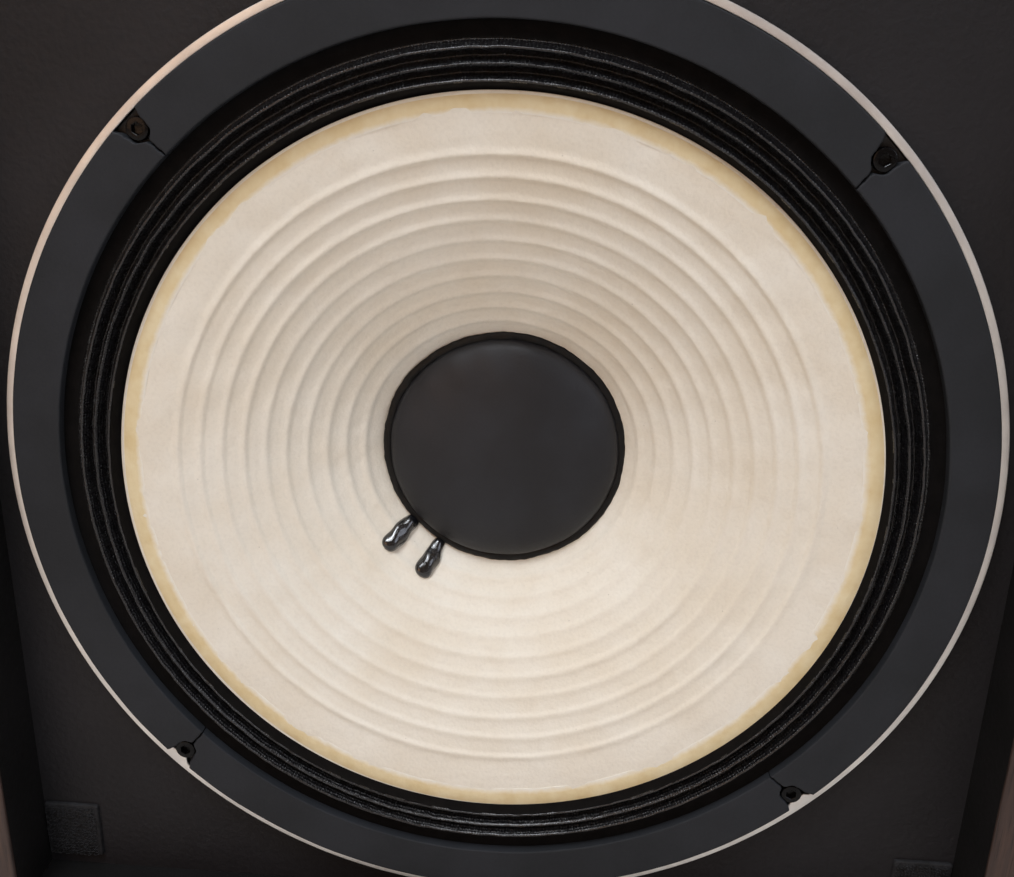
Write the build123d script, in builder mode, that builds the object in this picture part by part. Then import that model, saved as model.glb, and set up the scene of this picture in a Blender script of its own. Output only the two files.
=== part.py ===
from build123d import *
import os
from math import asin, cos, pi, radians, sin, sqrt, tan

# A three-way bookshelf loudspeaker with a 12-inch woofer and its grille taken off.
# Millimetres. The origin is the middle of the base, +Z is up and the front faces -Y.
# Each driver is drawn as (radius, depth) outlines about its own axis, with depth 0 at the
# front face of its flange and growing into the cabinet.

# Cabinet
CAB_W = 362.0
CAB_H = 600.0
CAB_D = 344.0
PANEL_T = 18.0
BAFFLE_T = 18.0
RECESS = 25.0
BACK_T = 15.0
BACK_INSET = 4.0
BATTEN = 18.0
BRACE_Z = 349.0
INNER_W = CAB_W - 2 * PANEL_T
INNER_H = CAB_H - 2 * PANEL_T
MID_Z = CAB_H / 2
FRONT_Y = -CAB_D / 2
BAFFLE_Y = FRONT_Y + RECESS
BAFFLE_BACK_Y = BAFFLE_Y + BAFFLE_T
BACK_OUTER_Y = CAB_D / 2 - BACK_INSET
BACK_INNER_Y = BACK_OUTER_Y - BACK_T

# Woofer
WOOFER_R = 153.0
WOOFER_STAND = 8.7
WOOFER_Z = PANEL_T + 162.0
WOOFER = (0, BAFFLE_Y - WOOFER_STAND, WOOFER_Z)
RIM_R = 150.5
FLANGE_T = 6.0
SEAT = 2.2
GASKET_OUT_R = 150.3
GASKET_IN_R = 135.5
GASKET_PROUD = 1.7
BOLT_CIRCLE_R = 146.0
BOLT_START = 44.4
BOLT_R = 2.0
BOLT_HEAD_R = 3.4
BOLT_HEAD_T = 3.0
BOLT_HEX_R = 1.7
NOTCH_W = 9.0
NOTCH_L = 6.0
CONE_EDGE_R = 118.5
CONE_EDGE_DEPTH = 1.8
CONE_FALL = 33.5
CONE_SPAN = 77.1
CONE_POWER = 1.9
CONE_T = 0.9
NECK_R = 25.7
GLUE_IN_R = 112.8
RIB_COUNT = 10
RIB_FIRST_R = 100.0
RIB_STEP = 6.6
RIB_CLOSING = 0.071
RIB_H = 0.8
CAP_R = 40.0
CAP_DEPTH = 34.7
CAP_CROWN = 9.0
FORMER_R = 25.5
WOOFER_CUTOUT_R = 143.0
TEE_BARREL_R = 3.7
TERMINAL_UP = -79.2
LEAD_ANGLES = (222.0, 239.3)

# Midrange, tweeter, port and level controls
MIDRANGE_STAND = 4.0
MIDRANGE = (-78, BAFFLE_Y - MIDRANGE_STAND, 462)
MIDRANGE_R = 69.0
MIDRANGE_SCREW_R = 64.0
MIDRANGE_CUTOUT_R = 55.0
CAN_DEPTH = 52.0
TWEETER = (80, BAFFLE_Y - MIDRANGE_STAND, 512)
TWEETER_R = 47.0
TWEETER_SCREW_R = 41.5
TWEETER_CUTOUT_R = 37.0
PORT = (106, 400)
PORT_IN_R = 32.0
PORT_OUT_R = 35.0
PORT_FLANGE_R = 42.0
PORT_FLANGE_T = 3.0
PORT_LENGTH = 118.0
CONTROL = (-85, 362)
CONTROL_W = 130.0
CONTROL_H = 44.0
CONTROL_T = 2.0
CONTROL_SCREWS = (118.0, 32.0)
POT_SLOT = (98.0, 30.0)
POT_R = 12.0
POT_DEPTH = 22.0
KNOB_OFFSET = 32.0
KNOB_R = 10.5
KNOB_L = 11.6
SHAFT_R = 3.0
SCREW_R = 1.7
SCREW_HEAD_R = 3.4
SCREW_HEAD_T = 1.8
SCREW_L = 14.0

# Rear terminals
CUP_Z = 110.0
CUP_W = 84.0
CUP_H = 64.0
CUP_FLANGE_T = 2.0
TRAY_W = 64.0
TRAY_H = 44.0
TRAY_D = 24.0
TRAY_WALL = 2.0
BUTTON_X = 14.0
BUTTON_Z = 115.0
BUTTON = (12.0, 13.0, 10.0)
CUP_SCREW_X = 37.0
CUP_SCREW_Z = 27.0

RUNNING_GAP = 0.3
HOLE_GAP = 0.1

os.makedirs("parts", exist_ok=True)

REAR_FACE = Plane(origin=(0, BACK_OUTER_Y, CUP_Z), x_dir=(-1, 0, 0), z_dir=(0, 1, 0))


def save(piece, label):
    """Label a finished piece and write it to its own file."""
    piece.part.label = label
    export_step(piece.part, f"parts/{label}.step")


def face_plane(x, y, z):
    """Upright plane facing the listener: local x is +X, local y is +Z, and its normal is -Y."""
    return Plane(origin=(x, y, z), x_dir=(1, 0, 0), z_dir=(0, -1, 0))


def driver_face(centre, depth):
    """Face plane square to a driver's axis, at a depth behind its flange."""
    return face_plane(centre[0], centre[1] + depth, centre[2])


def section(centre, *outlines):
    """Closed (radius, depth) outlines in the plane through a driver's axis."""
    with BuildSketch(Plane(origin=centre, x_dir=(1, 0, 0), z_dir=(0, 0, 1))) as sketch:
        for outline in outlines:
            with BuildLine():
                Polyline(*outline, close=True)
            make_face()
    return sketch.sketch


def axis_of(centre):
    """A driver's axis, pointing into the cabinet."""
    return Axis(centre, (0, 1, 0))


def turned(label, centre, *outlines):
    """A piece turned about a driver's axis from its (radius, depth) outlines."""
    with BuildPart() as piece:
        revolve(section(centre, *outlines), axis=axis_of(centre))
    save(piece, label)


def ring(inner, outer, front, back):
    """Square-cut ring as a (radius, depth) outline."""
    return [(inner, front), (outer, front), (outer, back), (inner, back)]


def domed(label, centre, radius, base, crown, wall, lip):
    """A spherical dome of even wall with a flat lip round it, its crown towards the listener."""
    outer_r = (radius**2 + crown**2) / (2 * crown)
    inner_r = outer_r - wall
    middle = base - crown + outer_r
    inner_edge = sqrt(inner_r**2 - (middle - base - wall) ** 2)
    outer_half = asin(radius / outer_r) / 2
    inner_half = asin(inner_edge / inner_r) / 2
    with BuildPart() as piece:
        with BuildSketch(Plane(origin=centre, x_dir=(1, 0, 0), z_dir=(0, 0, 1))):
            with BuildLine():
                ThreePointArc(
                    (0, base - crown),
                    (outer_r * sin(outer_half), middle - outer_r * cos(outer_half)),
                    (radius, base),
                )
                Polyline(
                    (radius, base),
                    (radius + lip, base),
                    (radius + lip, base + wall),
                    (inner_edge, base + wall),
                )
                ThreePointArc(
                    (inner_edge, base + wall),
                    (inner_r * sin(inner_half), middle - inner_r * cos(inner_half)),
                    (0, base - crown + wall),
                )
                Line((0, base - crown + wall), (0, base - crown))
            make_face()
        revolve(axis=axis_of(centre))
    save(piece, label)


def polar(centre, radius, angle, depth):
    """Point at a radius and angle about a driver's axis, at a depth behind its flange."""
    x = centre[0] + radius * cos(radians(angle))
    z = centre[2] + radius * sin(radians(angle))
    return (x, centre[1] + depth, z)


def pleats(first_r, step, count, high, low):
    """Zigzag of crests and valleys, stepping inwards, as (radius, depth) points."""
    points = []
    for k in range(count):
        points.append((first_r - step * k, high))
        points.append((first_r - step * (k + 0.5), low))
    return points


def thickened(front, thickness):
    """Close a front line with a copy of itself moved back by the thickness."""
    return front + [(r, depth + thickness) for r, depth in reversed(front)]


def wires(label, diameter, routes):
    """Round wires along straight runs joined by tangent arcs as large as the runs allow."""
    expected = 0
    with BuildPart() as piece:
        for route in routes:
            corners = [Vector(*point) for point in route]
            radii = []
            for before, corner, after in zip(corners, corners[1:], corners[2:]):
                run_in = corner - before
                run_out = after - corner
                half_turn = radians(run_in.get_angle(run_out)) / 2
                shorter = min(run_in.length, run_out.length)
                radii.append(0.45 * shorter / tan(half_turn))
            with BuildLine() as path:
                FilletPolyline(*route, radius=radii)
            with BuildSketch(Plane(origin=path.line @ 0, z_dir=path.line % 0)):
                Circle(diameter / 2)
            sweep()
            expected += path.wire().length * pi * diameter**2 / 4
            print(label, "arc radii", [round(radius, 1) for radius in radii])
    print(label, "volume", round(piece.part.volume, 1), "expected", round(expected, 1))
    save(piece, label)


# ---------------------------------------------------------------- cabinet panels

def mitred_panel(label, corners):
    """Panel with mitred ends, its trapezoid profile carried from the front edge to the back."""
    with BuildPart() as piece:
        with BuildSketch(face_plane(0, FRONT_Y, 0)):
            with BuildLine():
                Polyline(*corners, close=True)
            make_face()
        extrude(amount=-CAB_D)
        chamfer(piece.edges().group_by(Axis.Y)[0].sort_by(SortBy.LENGTH)[-1], length=0.6)
    save(piece, label)


for label, side in (("side_panel_left", -1), ("side_panel_right", 1)):
    outer_x = side * CAB_W / 2
    inner_x = side * INNER_W / 2
    mitred_panel(
        label,
        [(outer_x, 0), (inner_x, PANEL_T), (inner_x, CAB_H - PANEL_T), (outer_x, CAB_H)],
    )

for label, outer_z, inner_z in (
    ("bottom_panel", 0, PANEL_T),
    ("top_panel", CAB_H, CAB_H - PANEL_T),
):
    mitred_panel(
        label,
        [
            (-CAB_W / 2, outer_z),
            (CAB_W / 2, outer_z),
            (INNER_W / 2, inner_z),
            (-INNER_W / 2, inner_z),
        ],
    )

with BuildPart() as back_panel:
    with BuildSketch(face_plane(0, BACK_INNER_Y, MID_Z)):
        Rectangle(INNER_W, INNER_H)
        with Locations((0, CUP_Z - MID_Z)):
            Rectangle(TRAY_W + 1, TRAY_H + 1, mode=Mode.SUBTRACT)
            with GridLocations(2 * CUP_SCREW_X, 2 * CUP_SCREW_Z, 2, 2):
                Circle(SCREW_R + HOLE_GAP, mode=Mode.SUBTRACT)
    extrude(amount=-BACK_T)
save(back_panel, "back_panel")

with BuildPart() as front_baffle:
    with BuildSketch(face_plane(0, BAFFLE_Y, 0)):
        with Locations((0, MID_Z)):
            Rectangle(INNER_W, INNER_H)
        with Locations((0, WOOFER_Z)):
            Circle(WOOFER_CUTOUT_R, mode=Mode.SUBTRACT)
            with PolarLocations(BOLT_CIRCLE_R, 4, start_angle=BOLT_START):
                Circle(TEE_BARREL_R + HOLE_GAP, mode=Mode.SUBTRACT)
        with Locations((MIDRANGE[0], MIDRANGE[2])):
            Circle(MIDRANGE_CUTOUT_R, mode=Mode.SUBTRACT)
            with PolarLocations(MIDRANGE_SCREW_R, 4, start_angle=45):
                Circle(SCREW_R + HOLE_GAP, mode=Mode.SUBTRACT)
        with Locations((TWEETER[0], TWEETER[2])):
            Circle(TWEETER_CUTOUT_R, mode=Mode.SUBTRACT)
            with PolarLocations(TWEETER_SCREW_R, 4, start_angle=45):
                Circle(SCREW_R + HOLE_GAP, mode=Mode.SUBTRACT)
        with Locations(PORT):
            Circle(PORT_OUT_R + HOLE_GAP, mode=Mode.SUBTRACT)
        with Locations(CONTROL):
            RectangleRounded(*POT_SLOT, 6, mode=Mode.SUBTRACT)
            with GridLocations(*CONTROL_SCREWS, 2, 2):
                Circle(SCREW_R + HOLE_GAP, mode=Mode.SUBTRACT)
    extrude(amount=-BAFFLE_T)
save(front_baffle, "front_baffle")

with BuildPart() as battens:
    side_x = INNER_W / 2 - BATTEN / 2
    low_z = PANEL_T + BATTEN / 2
    high_z = CAB_H - PANEL_T - BATTEN / 2
    for frame_y in (BAFFLE_BACK_Y + BATTEN / 2, BACK_INNER_Y - BATTEN / 2):
        with Locations((-side_x, frame_y, MID_Z), (side_x, frame_y, MID_Z)):
            Box(BATTEN, BATTEN, INNER_H - 0.4)
        with Locations((0, frame_y, low_z), (0, frame_y, high_z)):
            Box(INNER_W - 2 * BATTEN - 0.4, BATTEN, BATTEN)
    with Locations((0, -10, BRACE_Z)):
        Box(INNER_W, 40, BATTEN)
save(battens, "battens")

PAD_T = 20.0
PAD_SIDE_X = INNER_W / 2 - PAD_T / 2 - 0.2

with BuildPart() as damping_pads:
    with Locations((-PAD_SIDE_X, 12, 195), (PAD_SIDE_X, 12, 195)):
        Box(PAD_T, 235, 270)
    with Locations((-PAD_SIDE_X, 12, 466), (PAD_SIDE_X, 12, 466)):
        Box(PAD_T, 235, 190)
    with Locations((0, BACK_INNER_Y - 9.2, 370)):
        Box(280, 18, 370)
    fillet(damping_pads.edges(), radius=5)
save(damping_pads, "damping_pads")

GRILLE_PAD_W = 20.0
GRILLE_PAD_H = 22.0
GRILLE_PAD_T = 3.0
GRILLE_PAD_X = INNER_W / 2 - 0.5 - GRILLE_PAD_W / 2
GRILLE_PAD_LOW_Z = WOOFER_Z - 135.3 - GRILLE_PAD_H / 2
GRILLE_PAD_HIGH_Z = CAB_H - GRILLE_PAD_LOW_Z

with BuildPart() as grille_pads:
    for pad_z in (GRILLE_PAD_LOW_Z, GRILLE_PAD_HIGH_Z):
        with BuildSketch(face_plane(0, BAFFLE_Y, pad_z)):
            with Locations((-GRILLE_PAD_X, 0), (GRILLE_PAD_X, 0)):
                RectangleRounded(GRILLE_PAD_W, GRILLE_PAD_H, 1)
        extrude(amount=GRILLE_PAD_T)
save(grille_pads, "grille_pads")


# ---------------------------------------------------------------- woofer

def cone_depth(radius):
    """Depth of the woofer cone's front face: shallow at the edge and steep at the neck."""
    return CONE_EDGE_DEPTH + CONE_FALL * ((CONE_EDGE_R - radius) / CONE_SPAN) ** CONE_POWER


with BuildPart() as woofer_frame:
    revolve(
        section(
            WOOFER,
            [
                (RIM_R, 0),
                (WOOFER_R - 0.5, 0),
                (WOOFER_R, 0.5),
                (WOOFER_R, FLANGE_T),
                (140.5, FLANGE_T),
                (136.5, 24),
                (82, 68),
                (78, 72),
                (78, 80),
                (34, 80),
                (34, 76.5),
                (74, 76.5),
                (74, 68),
                (63, 68),
                (63, 64),
                (77, 64),
                (131.5, 22),
                (134, 5.6),
                (131, 5.6),
                (131, SEAT),
                (RIM_R, SEAT),
            ],
        ),
        axis=axis_of(WOOFER),
    )
    with BuildSketch(driver_face(WOOFER, 1)):
        with PolarLocations(104, 6, start_angle=51):
            Trapezoid(97, 32, 68, rotation=90)
    extrude(amount=-74, mode=Mode.SUBTRACT)
    with BuildSketch(driver_face(WOOFER, 0)):
        with PolarLocations(BOLT_CIRCLE_R, 4, start_angle=BOLT_START):
            Circle(BOLT_R + RUNNING_GAP)
    extrude(amount=-FLANGE_T, mode=Mode.SUBTRACT)
save(woofer_frame, "woofer_frame")

with BuildPart() as woofer_gasket:
    revolve(
        section(WOOFER, ring(GASKET_IN_R, GASKET_OUT_R, -GASKET_PROUD, SEAT - 0.5)),
        axis=axis_of(WOOFER),
    )
    with BuildSketch(driver_face(WOOFER, -3)):
        with PolarLocations(BOLT_CIRCLE_R, 4, start_angle=BOLT_START):
            Circle(BOLT_HEAD_R + 0.4)
        with PolarLocations(GASKET_OUT_R, 4, start_angle=BOLT_START):
            Trapezoid(NOTCH_W, NOTCH_L, 64, rotation=90)
        with PolarLocations(GASKET_IN_R + 5, 4, start_angle=BOLT_START):
            Rectangle(14, 0.6)
    extrude(amount=-8, mode=Mode.SUBTRACT)
save(woofer_gasket, "woofer_gasket")

with BuildPart() as woofer_seal:
    revolve(
        section(WOOFER, ring(WOOFER_CUTOUT_R - 1, WOOFER_R - 1, FLANGE_T, WOOFER_STAND)),
        axis=axis_of(WOOFER),
    )
    with BuildSketch(driver_face(WOOFER, FLANGE_T)):
        with PolarLocations(BOLT_CIRCLE_R, 4, start_angle=BOLT_START):
            Circle(BOLT_R + RUNNING_GAP)
    extrude(amount=-WOOFER_STAND, mode=Mode.SUBTRACT)
save(woofer_seal, "woofer_seal")

BOLT_UNDER_HEAD = SEAT
BOLT_END = WOOFER_STAND + BAFFLE_T + 1.0
TEE_FLANGE_R = 9.0
TEE_FLANGE_T = 1.2

with BuildPart() as woofer_bolts:
    with BuildSketch(driver_face(WOOFER, BOLT_UNDER_HEAD)):
        with PolarLocations(BOLT_CIRCLE_R, 4, start_angle=BOLT_START):
            Circle(BOLT_HEAD_R)
    extrude(amount=BOLT_HEAD_T)
    chamfer(woofer_bolts.edges().group_by(Axis.Y)[0], length=0.4)
    with BuildSketch(driver_face(WOOFER, BOLT_UNDER_HEAD)):
        with PolarLocations(BOLT_CIRCLE_R, 4, start_angle=BOLT_START):
            Circle(BOLT_R)
    extrude(amount=BOLT_UNDER_HEAD - BOLT_END)
    with BuildSketch(driver_face(WOOFER, BOLT_UNDER_HEAD - BOLT_HEAD_T)):
        with PolarLocations(BOLT_CIRCLE_R, 4, start_angle=BOLT_START):
            RegularPolygon(BOLT_HEX_R, 6)
    extrude(amount=-1.6, mode=Mode.SUBTRACT)
save(woofer_bolts, "woofer_bolts")

with BuildPart() as woofer_tee_nuts:
    with BuildSketch(driver_face(WOOFER, WOOFER_STAND + BAFFLE_T - 9)):
        with PolarLocations(BOLT_CIRCLE_R, 4, start_angle=BOLT_START):
            Circle(TEE_BARREL_R)
    extrude(amount=-9)
    with BuildSketch(driver_face(WOOFER, WOOFER_STAND + BAFFLE_T)):
        with PolarLocations(BOLT_CIRCLE_R, 4, start_angle=BOLT_START):
            Circle(TEE_FLANGE_R)
    extrude(amount=-TEE_FLANGE_T)
    with BuildSketch(driver_face(WOOFER, 0)):
        with PolarLocations(BOLT_CIRCLE_R, 4, start_angle=BOLT_START):
            Circle(BOLT_R + HOLE_GAP)
    extrude(amount=-40, mode=Mode.SUBTRACT)
save(woofer_tee_nuts, "woofer_tee_nuts")

turned("woofer_top_plate", WOOFER, ring(27.3, 60, 80, 88))
turned("woofer_magnet", WOOFER, ring(33, 70, 88, 108))
turned(
    "woofer_yoke",
    WOOFER,
    [(9, 79), (24.3, 79), (24.3, 108), (66, 108), (66, 116), (9, 116)],
)

with BuildPart() as woofer_terminals:
    with Locations((0, WOOFER[1] + 82, WOOFER_Z + TERMINAL_UP)):
        Box(30, 20, 2.4)
    tag_z = WOOFER_Z + TERMINAL_UP - 1.6
    with Locations((-8, WOOFER[1] + 84, tag_z), (8, WOOFER[1] + 84, tag_z)):
        Box(6, 12, 0.8)
save(woofer_terminals, "woofer_terminals")

surround_front = [(141, SEAT - 0.5), (131, SEAT - 0.5), (130.4, 2.4)]
surround_front += pleats(128.3, 4.0, 2, -0.6, 2.2)
surround_front += [(120.3, -0.6), (118.9, 3.0), (113.2, 3.2)]
turned("woofer_surround", WOOFER, thickened(surround_front, 0.5))

spider_front = [(76, 63.5), (63, 63.5)]
spider_front += pleats(60, 6.0, 5, 61.6, 64.4)
spider_front += [(29, 62.6), (FORMER_R + HOLE_GAP, 62.6)]
turned("woofer_spider", WOOFER, thickened(spider_front, 0.5))

wires(
    "woofer_tinsel_leads",
    1.6,
    [
        [
            polar(WOOFER, 54, LEAD_ANGLES[0], 29.5),
            polar(WOOFER, 74, 225, 38),
            polar(WOOFER, 97, 231, 45),
            polar(WOOFER, 103, 239, 58),
            polar(WOOFER, 94, 252, 72),
            polar(WOOFER, 82.4, 264.4, 84),
        ],
        [
            polar(WOOFER, 54, LEAD_ANGLES[1], 29.5),
            polar(WOOFER, 74, 240, 38),
            polar(WOOFER, 97, 243, 45),
            polar(WOOFER, 104, 249, 58),
            polar(WOOFER, 94, 262, 72),
            polar(WOOFER, 82.4, 275.6, 84),
        ],
    ],
)

cone_front = [(CONE_EDGE_R, CONE_EDGE_DEPTH), (GLUE_IN_R, cone_depth(GLUE_IN_R))]
for k in range(RIB_COUNT):
    rib_r = RIB_FIRST_R - RIB_STEP * k + RIB_CLOSING * k * (k - 1)
    for step, rise in ((1.3, 0), (0.5, RIB_H), (-0.5, RIB_H), (-1.3, 0)):
        cone_front.append((rib_r + step, cone_depth(rib_r + step) - rise))
cone_front += [(r, cone_depth(r)) for r in (CAP_R, 35, 30, NECK_R)]
cone_back_radii = (NECK_R, 30, 35, 41, 50, 60, 70, 80, 90, 100, GLUE_IN_R, CONE_EDGE_R)
cone_back = [(r, cone_depth(r) + CONE_T) for r in cone_back_radii]
turned("woofer_cone", WOOFER, cone_front + cone_back)

GLUE_T = 0.5
turned(
    "woofer_edge_glue",
    WOOFER,
    [
        (GLUE_IN_R, cone_depth(GLUE_IN_R) - GLUE_T),
        (CONE_EDGE_R, CONE_EDGE_DEPTH - GLUE_T),
        (CONE_EDGE_R, CONE_EDGE_DEPTH),
        (GLUE_IN_R, cone_depth(GLUE_IN_R)),
    ],
)
domed("woofer_dust_cap", WOOFER, CAP_R, CAP_DEPTH, CAP_CROWN, 0.8, 1.0)

LEAD_R = 48.0
LEAD_L = 13.0
LEAD_W = 5.0
LEAD_T = 1.6

with BuildPart() as woofer_lead_cement:
    for angle in LEAD_ANGLES:
        outer = Vector(*polar(WOOFER, LEAD_R + 1, angle, cone_depth(LEAD_R + 1)))
        inner = Vector(*polar(WOOFER, LEAD_R - 1, angle, cone_depth(LEAD_R - 1)))
        around = Vector(-sin(radians(angle)), 0, cos(radians(angle)))
        slope = (outer - inner).normalized()
        outwards = slope.cross(around)
        if outwards.Y > 0:
            outwards = -outwards
        seat_point = (outer + inner) * 0.5 + outwards * (RIB_H + 0.1)
        with BuildSketch(Plane(origin=seat_point, x_dir=slope, z_dir=outwards)):
            SlotOverall(LEAD_L, LEAD_W)
        extrude(amount=LEAD_T)
save(woofer_lead_cement, "woofer_lead_cement")

turned("woofer_coil_former", WOOFER, ring(FORMER_R - 0.5, FORMER_R, 46, 93))
turned("woofer_winding", WOOFER, ring(FORMER_R, FORMER_R + 1.1, 75, 93))


# ---------------------------------------------------------------- midrange

with BuildPart() as midrange_frame:
    revolve(
        section(
            MIDRANGE,
            [
                (60, 0),
                (MIDRANGE_R - 0.5, 0),
                (MIDRANGE_R, 0.5),
                (MIDRANGE_R, 4),
                (54, 4),
                (52.5, 13),
                (34, 30),
                (34, 38),
                (15, 38),
                (15, 35.5),
                (31.5, 35.5),
                (31.5, 31),
                (24, 31),
                (24, 28.5),
                (31.5, 28.5),
                (49.5, 12),
                (50, 4),
                (48.5, 4),
                (48.5, 1.5),
                (60, 1.5),
            ],
        ),
        axis=axis_of(MIDRANGE),
    )
    with BuildSketch(driver_face(MIDRANGE, 0)):
        with PolarLocations(MIDRANGE_SCREW_R, 4, start_angle=45):
            Circle(SCREW_R + HOLE_GAP)
    extrude(amount=-6, mode=Mode.SUBTRACT)
    with BuildSketch(driver_face(MIDRANGE, 6)):
        with PolarLocations(41.5, 4, start_angle=45):
            Rectangle(11, 30)
    extrude(amount=-30, mode=Mode.SUBTRACT)
save(midrange_frame, "midrange_frame")

turned("midrange_gasket", MIDRANGE, ring(51, 59, -0.8, 1.1))
turned(
    "midrange_surround",
    MIDRANGE,
    thickened([(58, 1.1), (48.5, 1.1), (47.4, -1), (45, -2.2), (42.6, -1), (41.4, 2.6), (38, 2.9)], 0.4),
)
turned(
    "midrange_spider",
    MIDRANGE,
    thickened([(31, 28), (24, 28)] + pleats(22.5, 3, 3, 26.8, 28.4) + [(13.1, 27.4)], 0.4),
)
turned(
    "midrange_cone",
    MIDRANGE,
    thickened([(41, 1.6), (37.5, 2.1), (30, 6.4), (22, 13), (16, 19), (13.2, 22.6)], 0.7),
)
domed("midrange_dust_cap", MIDRANGE, 16, 17.6, 5.5, 0.5, 0.6)
turned(
    "midrange_voice_coil",
    MIDRANGE,
    [(12.7, 21), (13, 21), (13, 37), (13.6, 37), (13.6, 45), (12.7, 45)],
)
turned(
    "midrange_pole_pieces",
    MIDRANGE,
    ring(14.3, 32, 38, 42),
    [(0, 38), (12.1, 38), (12.1, 54), (32, 54), (32, 59), (0, 59)],
)
turned("midrange_magnet", MIDRANGE, ring(17, 35, 42, 54))

CAN_FRONT = MIDRANGE_STAND + BAFFLE_T
turned(
    "midrange_back_can",
    MIDRANGE,
    [
        (57, CAN_FRONT),
        (62, CAN_FRONT),
        (62, CAN_FRONT + 2),
        (59, CAN_FRONT + 2),
        (59, CAN_FRONT + CAN_DEPTH),
        (0, CAN_FRONT + CAN_DEPTH),
        (0, CAN_FRONT + CAN_DEPTH - 2),
        (57, CAN_FRONT + CAN_DEPTH - 2),
    ],
)


# ---------------------------------------------------------------- tweeter

with BuildPart() as tweeter_plate:
    revolve(
        section(
            TWEETER,
            [
                (30, 0),
                (TWEETER_R - 0.5, 0),
                (TWEETER_R, 0.5),
                (TWEETER_R, 4),
                (18, 4),
                (18, 2.8),
                (22, 2.6),
            ],
        ),
        axis=axis_of(TWEETER),
    )
    with BuildSketch(driver_face(TWEETER, 0)):
        with PolarLocations(TWEETER_SCREW_R, 4, start_angle=45):
            Circle(SCREW_R + HOLE_GAP)
    extrude(amount=-6, mode=Mode.SUBTRACT)
save(tweeter_plate, "tweeter_plate")

turned(
    "tweeter_surround",
    TWEETER,
    thickened([(17.8, 3.6), (16.6, 3.4), (15.4, 2.2), (14.2, 2.8), (13.2, 3.4)], 0.3),
)
domed("tweeter_dome", TWEETER, 12.5, 3.0, 5.2, 0.25, 0.4)
turned(
    "tweeter_voice_coil",
    TWEETER,
    [(12.4, 3.4), (12.6, 3.4), (12.6, 5.2), (13, 5.2), (13, 8.6), (12.4, 8.6)],
)
turned(
    "tweeter_pole_pieces",
    TWEETER,
    ring(13.7, 32, 4.4, 8.4),
    [(0, 4.4), (11.8, 4.4), (11.8, 20), (32, 20), (32, 25), (0, 25)],
)
turned("tweeter_magnet", TWEETER, ring(18, 35, 8.4, 20))


# ---------------------------------------------------------------- port and level controls

PORT_CENTRE = (PORT[0], BAFFLE_Y - PORT_FLANGE_T, PORT[1])
turned(
    "port_tube",
    PORT_CENTRE,
    [
        (PORT_IN_R + 4, 0),
        (PORT_FLANGE_R, 0),
        (PORT_FLANGE_R, PORT_FLANGE_T),
        (PORT_OUT_R, PORT_FLANGE_T),
        (PORT_OUT_R, PORT_LENGTH),
        (PORT_IN_R, PORT_LENGTH),
        (PORT_IN_R, 6),
        (PORT_IN_R + 1.2, 2.4),
    ],
)

CONTROL_FACE = face_plane(CONTROL[0], BAFFLE_Y, CONTROL[1])

with BuildPart() as control_plate:
    with BuildSketch(CONTROL_FACE):
        RectangleRounded(CONTROL_W, CONTROL_H, 4)
        with Locations((-KNOB_OFFSET, 0), (KNOB_OFFSET, 0)):
            Circle(SHAFT_R + 0.6, mode=Mode.SUBTRACT)
        with GridLocations(*CONTROL_SCREWS, 2, 2):
            Circle(SCREW_R + HOLE_GAP, mode=Mode.SUBTRACT)
    extrude(amount=CONTROL_T)
save(control_plate, "control_plate")

with BuildPart() as level_pots:
    with BuildSketch(CONTROL_FACE):
        with Locations((-KNOB_OFFSET, 0), (KNOB_OFFSET, 0)):
            Circle(POT_R)
            Circle(SHAFT_R + HOLE_GAP, mode=Mode.SUBTRACT)
    extrude(amount=-14)
    with BuildSketch(CONTROL_FACE.offset(-14)):
        with Locations((-KNOB_OFFSET, 0), (KNOB_OFFSET, 0)):
            Circle(POT_R)
    extrude(amount=14 - POT_DEPTH)
save(level_pots, "level_pots")


def level_knob(driver, offset):
    """A fluted knob and the control's shaft that it is pushed on."""
    with BuildPart() as shaft:
        with BuildSketch(CONTROL_FACE.offset(-13.7)):
            with Locations((offset, 0)):
                Circle(SHAFT_R)
        extrude(amount=13.7 + CONTROL_T + 9.6)
    save(shaft, f"{driver}_level_shaft")
    with BuildPart() as knob:
        with BuildSketch(CONTROL_FACE.offset(CONTROL_T + 0.4)):
            with Locations((offset, 0)):
                Circle(KNOB_R)
                with PolarLocations(KNOB_R + 0.4, 20):
                    Circle(0.9, mode=Mode.SUBTRACT)
        extrude(amount=KNOB_L)
        with BuildSketch(CONTROL_FACE.offset(CONTROL_T + 0.4)):
            with Locations((offset, 0)):
                Circle(SHAFT_R + HOLE_GAP / 2)
        extrude(amount=9.3, mode=Mode.SUBTRACT)
    save(knob, f"{driver}_level_knob")


level_knob("midrange", -KNOB_OFFSET)
level_knob("tweeter", KNOB_OFFSET)

with BuildPart() as wood_screws:
    screw_faces = (
        (driver_face(MIDRANGE, 0), PolarLocations(MIDRANGE_SCREW_R, 4, start_angle=45)),
        (driver_face(TWEETER, 0), PolarLocations(TWEETER_SCREW_R, 4, start_angle=45)),
        (CONTROL_FACE.offset(CONTROL_T), GridLocations(*CONTROL_SCREWS, 2, 2)),
        (
            REAR_FACE.offset(CUP_FLANGE_T),
            GridLocations(2 * CUP_SCREW_X, 2 * CUP_SCREW_Z, 2, 2),
        ),
    )
    for screw_face, places in screw_faces:
        with BuildSketch(screw_face):
            with places:
                Circle(SCREW_HEAD_R)
        extrude(amount=SCREW_HEAD_T)
        with BuildSketch(screw_face):
            with places:
                Circle(SCREW_R)
        extrude(amount=-SCREW_L)
save(wood_screws, "wood_screws")


# ---------------------------------------------------------------- crossover

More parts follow.
